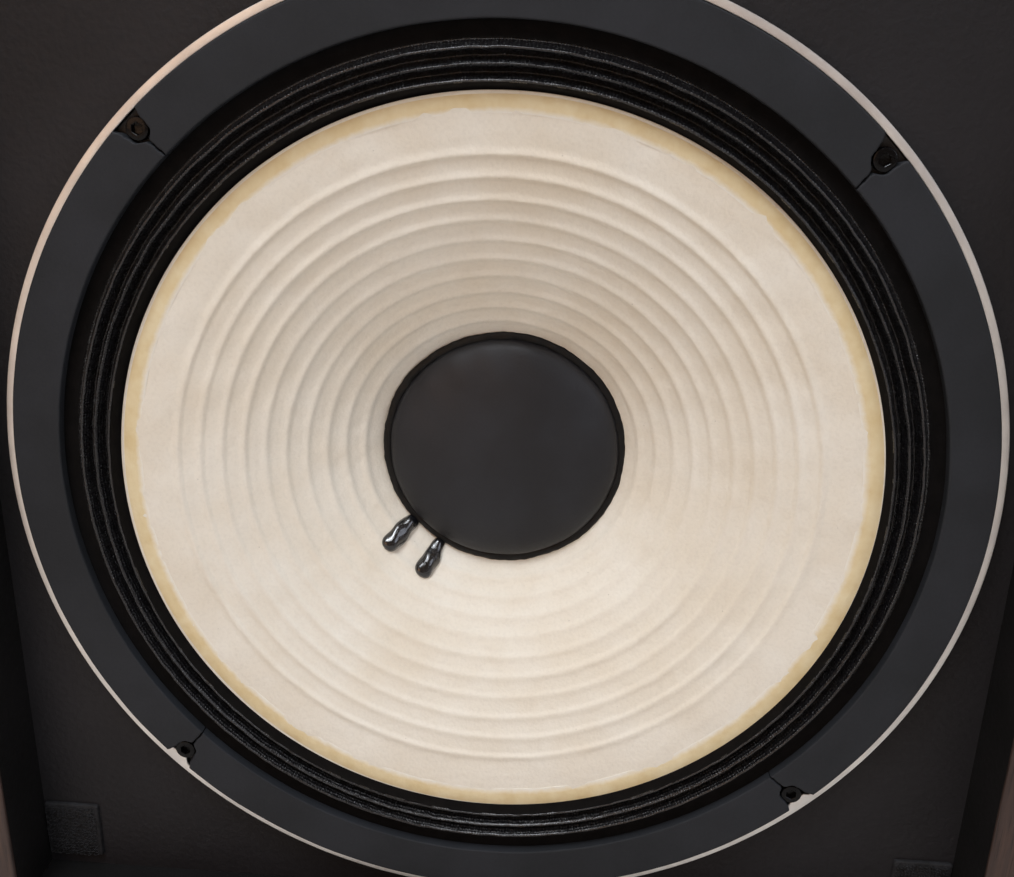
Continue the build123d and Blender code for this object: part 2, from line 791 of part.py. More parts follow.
BOARD_T = 6.0
BOARD_TOP = PANEL_T + BOARD_T
COIL_H = 22.0
CAPACITOR_R = 9.0
CAPACITOR_L = 42.0

with BuildPart() as crossover_board:
    with Locations((0, 70, PANEL_T + BOARD_T / 2)):
        Box(160, 100, BOARD_T)
save(crossover_board, "crossover_board")

with BuildPart() as inductors:
    with BuildSketch(Plane.XY.offset(BOARD_TOP)):
        with Locations((-48, 50), (0, 50), (48, 50)):
            Circle(20)
            Circle(8, mode=Mode.SUBTRACT)
    extrude(amount=COIL_H)
save(inductors, "inductors")

with BuildPart() as capacitors:
    for row_y in (84, 106):
        with BuildSketch(Plane.YZ.offset(-CAPACITOR_L - 6)):
            with Locations((row_y, BOARD_TOP + CAPACITOR_R)):
                Circle(CAPACITOR_R)
        extrude(amount=CAPACITOR_L)
        with BuildSketch(Plane.YZ.offset(6)):
            with Locations((row_y, BOARD_TOP + CAPACITOR_R)):
                Circle(CAPACITOR_R)
        extrude(amount=CAPACITOR_L)
save(capacitors, "capacitors")


# ---------------------------------------------------------------- rear terminals

TRAY_FLOOR_Y = BACK_OUTER_Y - TRAY_D + TRAY_WALL
BLOCK_FACE = Plane(origin=(0, TRAY_FLOOR_Y, CUP_Z), x_dir=(-1, 0, 0), z_dir=(0, 1, 0))
BUTTON_UP = BUTTON_Z - CUP_Z
WIRE_HOLE_R = 1.6
WIRE_HOLE_UP = -8.0

with BuildPart() as terminal_cup:
    with BuildSketch(REAR_FACE):
        RectangleRounded(CUP_W, CUP_H, 5)
        with GridLocations(2 * CUP_SCREW_X, 2 * CUP_SCREW_Z, 2, 2):
            Circle(SCREW_R + HOLE_GAP, mode=Mode.SUBTRACT)
    extrude(amount=CUP_FLANGE_T)
    with BuildSketch(REAR_FACE.offset(-TRAY_D)):
        RectangleRounded(TRAY_W, TRAY_H, 3)
    extrude(amount=TRAY_D)
    with BuildSketch(BLOCK_FACE):
        RectangleRounded(TRAY_W - 2 * TRAY_WALL, TRAY_H - 2 * TRAY_WALL, 2)
    extrude(amount=TRAY_D + CUP_FLANGE_T, mode=Mode.SUBTRACT)
    with BuildSketch(BLOCK_FACE):
        Rectangle(56, 30)
        with Locations((-BUTTON_X, BUTTON_UP), (BUTTON_X, BUTTON_UP)):
            Rectangle(BUTTON[0] + 0.6, BUTTON[2] + 0.6, mode=Mode.SUBTRACT)
    extrude(amount=12)
    with BuildSketch(BLOCK_FACE.offset(2)):
        with Locations((-BUTTON_X, WIRE_HOLE_UP), (BUTTON_X, WIRE_HOLE_UP)):
            Circle(WIRE_HOLE_R)
    extrude(amount=12, mode=Mode.SUBTRACT)
save(terminal_cup, "terminal_cup")


def push_terminal(colour, x):
    """A push button in its pocket and the small return spring behind it."""
    with BuildPart() as button:
        with Locations((x, TRAY_FLOOR_Y + 5 + BUTTON[1] / 2, BUTTON_Z)):
            Box(*BUTTON)
        fillet(button.edges().group_by(Axis.Y)[-1], radius=1.5)
    save(button, f"terminal_button_{colour}")
    with BuildPart() as spring:
        with BuildLine() as coil:
            Helix(1.5, 4.2, 3, center=(x, TRAY_FLOOR_Y + 0.4, BUTTON_Z), direction=(0, 1, 0))
        with BuildSketch(Plane(origin=coil.line @ 0, z_dir=coil.line % 0)):
            Circle(0.3)
        sweep(is_frenet=True)
    save(spring, f"terminal_spring_{colour}")


push_terminal("red", -BUTTON_X)
push_terminal("black", BUTTON_X)


# ---------------------------------------------------------------- internal wiring

CAN_BACK_Y = MIDRANGE[1] + CAN_FRONT + CAN_DEPTH
POT_BACK_Y = BAFFLE_Y + POT_DEPTH
POT_X = CONTROL[0] - KNOB_OFFSET
TAG_Z = WOOFER_Z + TERMINAL_UP

wires(
    "internal_wiring",
    4.0,
    [
        [(-26, 20, BOARD_TOP), (-26, 20, 60), (-16, 6, 90), (0, -26, TAG_Z), (0, -63.7, TAG_Z)],
        [
            (-74, 100, BOARD_TOP),
            (-74, 100, 60),
            (-102, 88, 112),
            (-122, 76, 176),
            (-126, 68, 240),
            (-122, 62, 300),
            (-124, 54, 360),
            (-118, 36, 414),
            (-96, 0, 452),
            (-78, -36, 462),
            (-78, CAN_BACK_Y, 462),
        ],
        [
            (74, 100, BOARD_TOP),
            (74, 100, 60),
            (102, 88, 112),
            (122, 76, 176),
            (126, 68, 240),
            (122, 62, 300),
            (124, 54, 360),
            (120, 36, 414),
            (104, 0, 462),
            (88, -46, 500),
            (80, -84, 512),
            (80, TWEETER[1] + 25, 512),
        ],
        [
            (0, 116, BOARD_TOP),
            (0, 116, 62),
            (1, 120, 96),
            (4, 134, 111),
            (4, BACK_OUTER_Y - TRAY_D, 111),
        ],
        [
            (-70, 26, BOARD_TOP),
            (-70, 26, 64),
            (-94, 14, 116),
            (-110, 4, 172),
            (-114, -12, 230),
            (-110, -40, 282),
            (-113, -68, 330),
            (POT_X, -92, CONTROL[1]),
            (POT_X, POT_BACK_Y, CONTROL[1]),
        ],
        [
            (POT_X + 8, POT_BACK_Y, CONTROL[1]),
            (POT_X + 8, POT_BACK_Y + 20, CONTROL[1]),
            (POT_X + 32, POT_BACK_Y + 26, CONTROL[1] - 4),
            (POT_X + 56, POT_BACK_Y + 20, CONTROL[1]),
            (POT_X + 56, POT_BACK_Y, CONTROL[1]),
        ],
    ],
)
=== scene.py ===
import math

import bmesh
import bpy
import numpy as np
from mathutils import Matrix, Vector


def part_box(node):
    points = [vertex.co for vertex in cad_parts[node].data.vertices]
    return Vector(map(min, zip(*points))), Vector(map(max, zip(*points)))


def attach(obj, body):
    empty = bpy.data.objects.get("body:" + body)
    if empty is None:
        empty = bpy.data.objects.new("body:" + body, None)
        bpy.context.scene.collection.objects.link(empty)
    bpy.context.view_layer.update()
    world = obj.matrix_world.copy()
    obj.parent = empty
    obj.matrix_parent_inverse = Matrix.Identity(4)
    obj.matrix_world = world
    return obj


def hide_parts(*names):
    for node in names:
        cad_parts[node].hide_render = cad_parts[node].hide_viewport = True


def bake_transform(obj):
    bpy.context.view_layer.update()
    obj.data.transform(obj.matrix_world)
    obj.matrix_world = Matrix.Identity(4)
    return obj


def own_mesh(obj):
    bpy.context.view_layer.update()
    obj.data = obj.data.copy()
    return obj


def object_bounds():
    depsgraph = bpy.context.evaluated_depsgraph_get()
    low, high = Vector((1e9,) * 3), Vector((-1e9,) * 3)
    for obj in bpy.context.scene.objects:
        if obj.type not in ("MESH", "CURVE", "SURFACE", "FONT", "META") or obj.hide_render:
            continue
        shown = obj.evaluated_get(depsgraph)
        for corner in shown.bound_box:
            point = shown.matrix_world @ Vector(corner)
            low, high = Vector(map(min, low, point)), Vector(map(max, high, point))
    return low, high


bl_info = {
    "name": "Bookshelf speaker looks",
    "version": (1, 0, 0),
    "blender": (4, 5, 0),
    "location": "View3D > Sidebar > Speaker",
    "description": "Builds the visible surfaces of a three-way bookshelf speaker round its CAD frame",
    "category": "Object",
}

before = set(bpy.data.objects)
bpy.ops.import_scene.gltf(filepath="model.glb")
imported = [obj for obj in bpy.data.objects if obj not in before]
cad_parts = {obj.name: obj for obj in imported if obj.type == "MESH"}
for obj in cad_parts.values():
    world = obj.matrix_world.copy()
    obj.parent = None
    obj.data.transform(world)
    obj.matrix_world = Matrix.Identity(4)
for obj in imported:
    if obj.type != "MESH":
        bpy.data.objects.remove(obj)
cad_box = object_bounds()

MM = 0.001
TURN = 2 * math.pi
CABINET = "cabinet"
WOOFER_BODY = "woofer_cone_body"
MIDRANGE_BODY = "midrange_cone_body"
TWEETER_BODY = "tweeter_dome_body"


def in_mm(length):
    return length / MM


def face_centre(node):
    """Middle of a node's front face, in metres: where a driver's axis meets its flange."""
    low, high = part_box(node)
    return np.array([(low.x + high.x) / 2, low.y, (low.z + high.z) / 2])


WOOFER = face_centre("woofer_frame")
MIDRANGE = face_centre("midrange_frame")
TWEETER = face_centre("tweeter_plate")
PORT = face_centre("port_tube")
CONTROL = face_centre("control_plate")
BAFFLE_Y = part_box("front_baffle")[0].y
HALF_WIDTH = cad_box[1][0] / MM
HALF_HEIGHT = cad_box[1][2] / 2 / MM
HALF_DEPTH = cad_box[1][1] / MM
BOARD = (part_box("bottom_panel")[1].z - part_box("bottom_panel")[0].z) / MM
BOLT_CIRCLE = 146.0
BOLT_START = math.radians(44.4)
CONE_EDGE = 118.5
CONE_EDGE_DEPTH = 1.8
CONE_FALL = 33.5
CONE_SPAN = 77.1
NECK = 25.9
LEAD_ANGLES = (222.0, 239.3)

# A Mix node's two colour sockets go by number, since its sockets of every type share their names.
FIRST_COLOUR, SECOND_COLOUR = 6, 7
MULTIPLIED = {"data_type": "RGBA", "blend_type": "MULTIPLY"}


# ---------------------------------------------------------------- colours and materials

def lin(code):
    """sRGB hex to linear red, green, blue and alpha."""
    values = []
    for k in (0, 2, 4):
        c = int(code[k:k + 2], 16) / 255
        values.append(c / 12.92 if c <= 0.04045 else ((c + 0.055) / 1.055) ** 2.4)
    return (*values, 1.0)


def add(tree, kind, inputs=None, to=None, stops=(), **settings):
    """Add a shader node with its settings, its inputs' values or links, its ramp's stops and,
    if to is given, a link from its output to that socket."""
    made = tree.nodes.new(kind)
    for key, value in settings.items():
        setattr(made, key, value)
    for key, value in (inputs or {}).items():
        if isinstance(value, bpy.types.Node):
            value = next(socket for socket in value.outputs if socket.enabled)
        if isinstance(value, bpy.types.NodeSocket):
            tree.links.new(value, made.inputs[key])
        else:
            made.inputs[key].default_value = value
    for _ in stops[2:]:
        made.color_ramp.elements.new(0.5)
    for k, (position, colour) in enumerate(stops):
        made.color_ramp.elements[k].position = position
        made.color_ramp.elements[k].color = colour
    if to:
        tree.links.new(next(socket for socket in made.outputs if socket.enabled), to)
    return made


def per_mm(size):
    """Texture scale, in cycles per metre, of a pattern whose detail measures size millimetres."""
    return 1 / (size * MM)


def grey(value):
    return (value, value, value, 1.0)


def blank(name, source="Object", **sockets):
    """A new material: itself, its tree, its shader's inputs and its coordinates."""
    material = bpy.data.materials.new(name)
    material.use_nodes = True
    tree = material.node_tree
    shader = tree.nodes["Principled BSDF"].inputs
    for key, value in sockets.items():
        shader[key.replace("_", " ")].default_value = value
    return material, tree, shader, add(tree, "ShaderNodeTexCoord").outputs[source]


def mottled(name, light, dark, cloud, grain, depth, rough, **sockets):
    """A surface of one stuff: two close tones in clouds, and a grain that is felt and seen."""
    material, tree, shader, place = blank(name, **sockets)
    clouds = add(tree, "ShaderNodeTexNoise", {"Vector": place, "Scale": per_mm(cloud), "Detail": 3})
    fine = add(tree, "ShaderNodeTexNoise", {"Vector": place, "Scale": per_mm(grain), "Detail": 3})
    tones = ((0.36, lin(dark)), (0.64, lin(light)))
    add(tree, "ShaderNodeValToRGB", {"Fac": clouds}, shader["Base Color"], tones)
    spread = {"Value": fine, "To Min": rough[0], "To Max": rough[1]}
    add(tree, "ShaderNodeMapRange", spread, shader["Roughness"])
    add(tree, "ShaderNodeBump", {"Height": fine, "Distance": depth * MM}, shader["Normal"])
    return material


def coated_pulp(colours):
    # Felted pulp with a sprayed coat: quite matt, with a fibrous grain and the odd dark speck.
    material, tree, shader, place = blank(
        "coated_paper_pulp", Specular_IOR_Level=0.3, Roughness=0.85,
    )
    clouds, swells, fibres = (
        add(tree, "ShaderNodeTexNoise", {
            "Vector": place, "Scale": per_mm(size), "Detail": detail, "Roughness": 0.55,
        })
        for size, detail in ((26, 3), (3.4, 2), (1.1, 4))
    )
    specks = add(tree, "ShaderNodeTexVoronoi", {"Vector": place, "Scale": per_mm(8)})
    tones = ((0.3, tuple(colours.cone_shade)), (0.7, tuple(colours.cone)))
    tone = add(tree, "ShaderNodeValToRGB", {"Fac": clouds}, stops=tones)
    felted = ((0.28, grey(0.95)), (0.55, grey(1)))
    grain = add(tree, "ShaderNodeValToRGB", {"Fac": fibres}, stops=felted)
    dots = ((0.02, grey(0.8)), (0.035, grey(1)))
    spots = add(tree, "ShaderNodeValToRGB", {"Fac": specks}, stops=dots)
    fibrous = {"Factor": 1.0, FIRST_COLOUR: tone, SECOND_COLOUR: grain}
    grained = add(tree, "ShaderNodeMix", fibrous, **MULTIPLIED)
    speckled = {"Factor": 1.0, FIRST_COLOUR: grained, SECOND_COLOUR: spots}
    add(tree, "ShaderNodeMix", speckled, shader["Base Color"], **MULTIPLIED)
    swelling = add(tree, "ShaderNodeBump", {"Height": swells, "Distance": 0.10 * MM})
    raised = {"Height": fibres, "Distance": 0.13 * MM, "Normal": swelling}
    add(tree, "ShaderNodeBump", raised, shader["Normal"])
    return material


def dried_glue(colours):
    # Solvent glue dried over the pulp: an amber film, thicker in pools, smoother than the pulp.
    # The UV map's V runs from 0 at the band's inner border, where the film thins out, to 1.
    material, tree, shader, place = blank("dried_solvent_glue", Specular_IOR_Level=0.4)
    pools, beads, ragged = (
        add(tree, "ShaderNodeTexNoise", {
            "Vector": place, "Scale": per_mm(size), "Detail": 3, "Roughness": 0.6,
        })
        for size in (8, 1.4, 2.6)
    )
    tones = ((0.3, tuple(colours.glue_thick)), (0.7, tuple(colours.glue)))
    tone = add(tree, "ShaderNodeValToRGB", {"Fac": pools}, stops=tones)
    uv = add(tree, "ShaderNodeTexCoord").outputs["UV"]
    across = add(tree, "ShaderNodeSeparateXYZ", {"Vector": uv}).outputs["Y"]
    border = add(tree, "ShaderNodeMath", {0: ragged, 1: 0.3, 2: across}, operation="MULTIPLY_ADD")
    share = add(tree, "ShaderNodeMapRange", {"Value": border, "From Min": 0.18, "From Max": 0.5})
    thin = {"Factor": share, FIRST_COLOUR: tuple(colours.cone), SECOND_COLOUR: tone}
    add(tree, "ShaderNodeMix", thin, shader["Base Color"], data_type="RGBA")
    smooth = {"Value": pools, "To Min": 0.45, "To Max": 0.7}
    add(tree, "ShaderNodeMapRange", smooth, shader["Roughness"])
    add(tree, "ShaderNodeBump", {"Height": beads, "Distance": 0.14 * MM}, shader["Normal"])
    return material


def doped_cloth(name, code, thread, depth, rough, coat):
    # Woven cotton under black dope: each thread still stands out and has its own glint. Threads
    # of half a millimetre are drawn about twice as wide, so that they show.
    material, tree, shader, place = blank(
        name, "UV", Base_Color=lin(code), Coat_Weight=coat, Coat_Roughness=0.15,
    )
    warp, weft = (
        add(tree, "ShaderNodeTexWave", {
            "Vector": place, "Scale": math.pi / (10 * thread * MM),
            "Distortion": 2.5, "Detail": 2.0, "Detail Scale": 0.6,
        }, bands_direction=direction).outputs["Fac"]
        for direction in ("X", "Y")
    )
    drops, runs = (
        add(tree, "ShaderNodeTexNoise", {
            "Vector": place, "Scale": per_mm(thread * size), "Detail": 3, "Roughness": 0.7,
        })
        for size in (1.5, 3.5)
    )
    knots = add(tree, "ShaderNodeMath", {0: warp, 1: weft}, operation="MULTIPLY")
    running = add(tree, "ShaderNodeBump", {"Height": runs, "Distance": depth * 2 * MM})
    dropped = {"Height": drops, "Distance": depth * 2.2 * MM, "Normal": running}
    under = add(tree, "ShaderNodeBump", dropped)
    woven = {"Height": knots, "Distance": depth * MM, "Normal": under}
    add(tree, "ShaderNodeBump", woven, shader["Normal"])
    spread = {"Value": drops, "To Min": rough[0], "To Max": rough[1]}
    add(tree, "ShaderNodeMapRange", spread, shader["Roughness"])
    return material


def board_paint():
    # Chipboard under thin matt black paint: its chips still show as low swellings. The chips
    # are drawn as coarse as they need to be to show.
    return mottled(
        "matt_black_painted_chipboard", "1E1D20", "161518", 70, 1.8, 0.24, (0.5, 0.75),
        Specular_IOR_Level=0.35,
    )


def veneer(name, along, colours):
    # Oiled walnut veneer: long streaks with the grain, darker figure, and short open pores.
    material, tree, shader, place = blank(name, Specular_IOR_Level=0.4)
    stretch = [1.0, 1.0, 1.0]
    stretch[along] = 0.05
    drawn = add(tree, "ShaderNodeMapping", {"Vector": place, "Scale": stretch})
    streaks, figure, pores = (
        add(tree, "ShaderNodeTexNoise", {
            "Vector": drawn, "Scale": per_mm(size), "Detail": detail, "Roughness": 0.6,
        })
        for size, detail in ((7, 5), (38, 2), (0.8, 3))
    )
    both = add(tree, "ShaderNodeMath", {0: streaks, 1: figure}, operation="ADD")
    half = add(tree, "ShaderNodeMath", {0: both, 1: 0.5}, operation="MULTIPLY")
    tones = (
        (0.38, tuple(colours.walnut_dark)), (0.5, tuple(colours.walnut)),
        (0.62, tuple(colours.walnut_light)),
    )
    tone = add(tree, "ShaderNodeValToRGB", {"Fac": half}, stops=tones)
    open_pores = ((0.36, grey(0.5)), (0.46, grey(1)))
    dark = add(tree, "ShaderNodeValToRGB", {"Fac": pores}, stops=open_pores)
    pored = {"Factor": 1.0, FIRST_COLOUR: tone, SECOND_COLOUR: dark}
    add(tree, "ShaderNodeMix", pored, shader["Base Color"], **MULTIPLIED)
    oiled = {"Value": streaks, "To Min": 0.36, "To Max": 0.52}
    add(tree, "ShaderNodeMapRange", oiled, shader["Roughness"])
    add(tree, "ShaderNodeBump", {"Height": pores, "Distance": 0.08 * MM}, shader["Normal"])
    return material


def hook_tape():
    # Nylon hook tape: dull black, dusty at the tips of its hooks.
    return mottled("nylon_hook_tape", "1A1B1F", "0A0A0D", 2.5, 0.9, 0.15, (0.6, 0.95))


def brushed_black():
    # Aluminium sheet, brushed along its length and anodised black: long hairlines, satin.
    material, tree, shader, place = blank("brushed_black_aluminium", Metallic=0.6)
    drawn = add(tree, "ShaderNodeMapping", {"Vector": place, "Scale": (0.02, 1, 1)})
    lines = add(tree, "ShaderNodeTexNoise", {"Vector": drawn, "Scale": per_mm(0.35), "Detail": 3})
    tones = ((0.3, lin("212124")), (0.7, lin("28282B")))
    add(tree, "ShaderNodeValToRGB", {"Fac": lines}, shader["Base Color"], tones)
    satin = {"Value": lines, "To Min": 0.3, "To Max": 0.48}
    add(tree, "ShaderNodeMapRange", satin, shader["Roughness"])
    add(tree, "ShaderNodeBump", {"Height": lines, "Distance": 0.02 * MM}, shader["Normal"])
    return material


def wound_copper(name):
    # Copper wire in lacquer, wound in close turns: a row of fine ridges, drawn a little coarse.
    material, tree, shader, place = blank(name, Metallic=1.0, Base_Color=lin("B4673A"))
    pitch = {"Vector": place, "Scale": math.pi / (10 * 1.2 * MM), "Distortion": 0.3}
    wires = add(tree, "ShaderNodeTexWave", pitch, bands_direction="Z").outputs["Fac"]
    tarnish = add(tree, "ShaderNodeTexNoise", {"Vector": place, "Scale": per_mm(3), "Detail": 3})
    add(tree, "ShaderNodeBump", {"Height": wires, "Distance": 0.3 * MM}, shader["Normal"])
    dulled = {"Value": tarnish, "To Min": 0.2, "To Max": 0.38}
    add(tree, "ShaderNodeMapRange", dulled, shader["Roughness"])
    return material


# ---------------------------------------------------------------- surfaces as whole arrays

def turns(segments):
    """Angles once round, the last one being the first again so that the seam closes exactly."""
    angles = np.linspace(0, TURN, segments + 1)
    angles[-1] = 0
    return angles


def about_axis(radius, turn, depth):
    """Points about a driver's axis: x = radius cos a, y = depth, z = radius sin a."""
    return np.stack([radius * np.cos(turn), depth, radius * np.sin(turn)], axis=-1)


def facing(turn):
    """Unit vector square to a driver's axis, at an angle round it."""
    return np.array([math.cos(turn), 0, math.sin(turn)])


def lathe(centre, radius, depth, segments):
    """Surface of revolution: each (radius, depth) in mm is carried round the driver's axis.
    Either may vary with the angle as well."""
    angle = turns(segments)
    columns = np.ones(segments + 1)
    radius, depth = np.asarray(radius, float), np.asarray(depth, float)
    radius = radius[:, None] * columns if radius.ndim == 1 else radius * columns
    depth = depth[:, None] * columns if depth.ndim == 1 else depth * columns
    return np.asarray(centre) + about_axis(radius, angle, depth) * MM


def lathe_uv(radius, depth, segments):
    """Lengths in metres: round the widest circle for u, and along the profile for v."""
    radius, depth = np.asarray(radius, float), np.asarray(depth, float)
    v = np.concatenate([[0], np.cumsum(np.hypot(np.diff(radius), np.diff(depth)))]) * MM
    u = np.linspace(0, TURN, segments + 1) * radius.max() * MM
    return np.stack(np.meshgrid(u, v), axis=-1)


def prism(*loops):
    """Closed solid through a row of closed loops, each end drawn in to its loop's middle."""
    ends = [np.repeat(loop.mean(axis=0)[None], len(loop), axis=0) for loop in (loops[0], loops[-1])]
    return np.stack([ends[0], *loops, ends[1]])


def tube(path, radius, sides):
    """Round tube along a path in mm: circles square to the path's direction at each point."""
    along = np.gradient(path, axis=0)
    along /= np.linalg.norm(along, axis=1, keepdims=True)
    first = np.cross(along, (0.3, 0.1, 1.0))
    first /= np.linalg.norm(first, axis=1, keepdims=True)
    second = np.cross(along, first)
    angle = turns(sides)[None, :, None]
    ring = first[:, None] * np.cos(angle) + second[:, None] * np.sin(angle)
    size = np.broadcast_to(np.asarray(radius, float).reshape(-1, 1, 1), (len(path), 1, 1))
    return prism(*(path[:, None] + ring * size)) * MM


def through(points, count):
    """Smooth path through points: each span is the cubic whose slopes are those of its
    neighbours' chords (Catmull-Rom)."""
    p = np.asarray(points, float)
    p = np.concatenate([2 * p[:1] - p[1:2], p, 2 * p[-1:] - p[-2:-1]])
    place = np.linspace(0, len(points) - 1, count)
    k = np.minimum(place.astype(int), len(points) - 2)
    t = (place - k)[:, None]
    a, b, c, d = p[k], p[k + 1], p[k + 2], p[k + 3]
    bend = 2 * a - 5 * b + 4 * c - d
    return 0.5 * (2 * b + (c - a) * t + bend * t ** 2 + (3 * b - 3 * c + d - a) * t ** 3)


def ripple(x, z, shortest, longest, count, seed):
    """Unit-size roughness: a sum of plane waves of random direction, length and phase."""
    rng = np.random.default_rng(seed)
    total = np.zeros(np.broadcast(x, z).shape)
    for _ in range(count):
        heading, phase = rng.uniform(0, TURN, 2)
        length = rng.uniform(shortest, longest)
        total += np.sin((x * math.cos(heading) + z * math.sin(heading)) * TURN / length + phase)
    return total / math.sqrt(count / 2)


def wander(angle, seed, lobes=(2, 3, 5, 8, 13, 21, 34)):
    """Unit-size wandering round a circle: a sum of whole numbers of waves, the short ones low."""
    rng = np.random.default_rng(seed)
    total = np.zeros_like(angle)
    for lobe in lobes:
        total += np.cos(lobe * angle + rng.uniform(0, TURN)) / math.sqrt(lobe)
    return total


def smooth_step(value):
    """0 below 0, 1 above 1, and an S-curve between."""
    t = np.clip(value, 0, 1)
    return t * t * (3 - 2 * t)


def rounded(corners, radius, steps=4):
    """Closed outline whose corners are rounded: each is a parabola between its two sides."""
    here = np.asarray(corners, float)
    legs = []
    for neighbour in (np.roll(here, 1, axis=0), np.roll(here, -1, axis=0)):
        leg = neighbour - here
        length = np.linalg.norm(leg, axis=1, keepdims=True)
        legs.append(here + leg / length * np.minimum(radius, 0.45 * length))
    t = np.linspace(0, 1, steps + 1)[None, :, None]
    start, end = legs[0][:, None], legs[1][:, None]
    bend = (1 - t) ** 2 * start + 2 * t * (1 - t) * here[:, None] + t ** 2 * end
    loop = bend.reshape(-1, here.shape[1])
    return np.concatenate([loop, loop[:1]])


def out_and_back(front, back):
    """Closed profile: along the front line, back along the other one, and to the first point."""
    return np.concatenate([front, back[::-1], front[:1]])


def shell(front_r, front_d, wall):
    """Closed outline of a thin turned sheet: its front line and the same line moved back."""
    return out_and_back(front_r, front_r), out_and_back(front_d, front_d + wall)


def profile(rows, angle):
    """Radii and depths of a profile's points, where a radius may vary with the angle."""
    radius = np.concatenate([r + 0 * angle for r, _ in rows])
    return radius, np.array([d for _, d in rows])


def squared(value, power):
    """A sine or cosine with its sign kept and its size raised to a power. A power below 1
    squares a circle's corners."""
    return np.sign(value) * np.abs(value) ** power


def make(name, grids, material, body=None, uvs=None, sharp=35, replaces=()):
    """One object from grids of points in metres. Points that coincide are welded, which closes
    seams and poles, and faces are turned outwards."""
    points, quads, base = [], [], 0
    for grid in grids:
        rows, cols = grid.shape[:2]
        index = base + np.arange(rows * cols).reshape(rows, cols)
        square = [index[:-1, :-1], index[1:, :-1], index[1:, 1:], index[:-1, 1:]]
        quads.append(np.stack(square, axis=-1).reshape(-1, 4))
        points.append(grid.reshape(-1, 3))
        base += rows * cols
    points, quads = np.concatenate(points), np.concatenate(quads)
    keys = np.round(points * 1e8).astype(np.int64)
    _, first, welded = np.unique(keys, axis=0, return_index=True, return_inverse=True)
    merged = welded.reshape(-1)[quads]
    keep = merged != np.roll(merged, 1, axis=1)
    keep[keep.sum(axis=1) < 3] = False
    sizes = keep.sum(axis=1)
    sizes = sizes[sizes > 0]
    mesh = bpy.data.meshes.new(name)
    mesh.vertices.add(len(first))
    mesh.vertices.foreach_set("co", points[first].astype(np.float32).reshape(-1))
    mesh.loops.add(int(sizes.sum()))
    mesh.loops.foreach_set("vertex_index", merged[keep].astype(np.int32))
    mesh.polygons.add(len(sizes))
    starts = np.concatenate([[0], np.cumsum(sizes)[:-1]])
    mesh.polygons.foreach_set("loop_start", starts.astype(np.int32))
    if uvs is not None:
        layer = mesh.uv_layers.new(name="UVMap")
        flat = np.concatenate([uv.reshape(-1, 2) for uv in uvs])[quads[keep]]
        layer.data.foreach_set("uv", flat.astype(np.float32).reshape(-1))
    mesh.update(calc_edges=True)
    mesh.validate()
    work = bmesh.new()
    work.from_mesh(mesh)
    bmesh.ops.recalc_face_normals(work, faces=work.faces)
    work.to_mesh(mesh)
    work.free()
    mesh.shade_smooth()
    mesh.set_sharp_from_angle(angle=math.radians(sharp))
    mesh.materials.append(material)
    piece = bpy.data.objects.new(name, mesh)
    bpy.context.scene.collection.objects.link(piece)
    if body:
        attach(piece, body)
    if replaces:
        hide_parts(*replaces)
    return piece


def face_middles(piece):
    """Each face's middle, in metres."""
    flat = np.zeros(len(piece.data.polygons) * 3, np.float32)
    piece.data.polygons.foreach_get("center", flat)
    return flat.reshape(-1, 3).astype(float)


def second_material(piece, material, chosen):
    """Give the chosen faces another material."""
    piece.data.materials.append(material)
    piece.data.polygons.foreach_set("material_index", chosen.astype(np.int32))


def stretch_between(piece):
    """Bake a piece's placement into its mesh and read its points back; nothing is moved or stretched."""
    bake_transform(piece)
    flat = np.zeros(len(piece.data.vertices) * 3, np.float32)
    piece.data.vertices.foreach_get("co", flat)


# ---------------------------------------------------------------- settings

def length_setting(name, description, millimetres):
    return bpy.props.FloatProperty(
        name=name, description=description, default=millimetres * MM, unit="LENGTH", precision=5,
    )


def colour_setting(name, description, code):
    return bpy.props.FloatVectorProperty(
        name=name, description=description, size=4, subtype="COLOR", default=lin(code),
    )


class SpeakerSizes(bpy.types.PropertyGroup):
    """Sizes that a user may want to change."""

    rib_height: length_setting("Rib height", "How far the woofer cone's ribs stand out", 0.66)
    rib_width: length_setting("Rib width", "Half width of a rib", 0.85)
    rib_count: bpy.props.IntProperty(
        name="Ribs", description="Number of ribs on the woofer cone", default=10, min=0,
    )
    glue_width: length_setting("Glue width", "Width of the glue band at the cone's edge", 6.0)
    pleat_height: length_setting("Pleat height", "Surround, from valley to crest", 4.1)
    edge_round: length_setting("Edge rounding", "Radius of the cabinet's edges", 1.2)
    flute_depth: length_setting("Flute depth", "Depth of the grip flutes of the knobs", 0.45)


class SpeakerColours(bpy.types.PropertyGroup):
    """Colours that a user may want to change."""

    cone: colour_setting("Cone", "Coated pulp", "F0EDE2")
    cone_shade: colour_setting("Cone, shaded", "Coated pulp where it has yellowed", "E9E2D2")
    glue: colour_setting("Glue", "Thin edge glue", "ECDFBA")
    glue_thick: colour_setting("Glue, thick", "Thick edge glue", "DFCB9C")
    walnut: colour_setting("Walnut", "Veneer", "3E302B")
    walnut_dark: colour_setting("Walnut, dark", "Dark streaks of the veneer", "2D201B")
    walnut_light: colour_setting("Walnut, light", "Light streaks of the veneer", "61483A")


# ---------------------------------------------------------------- cabinet

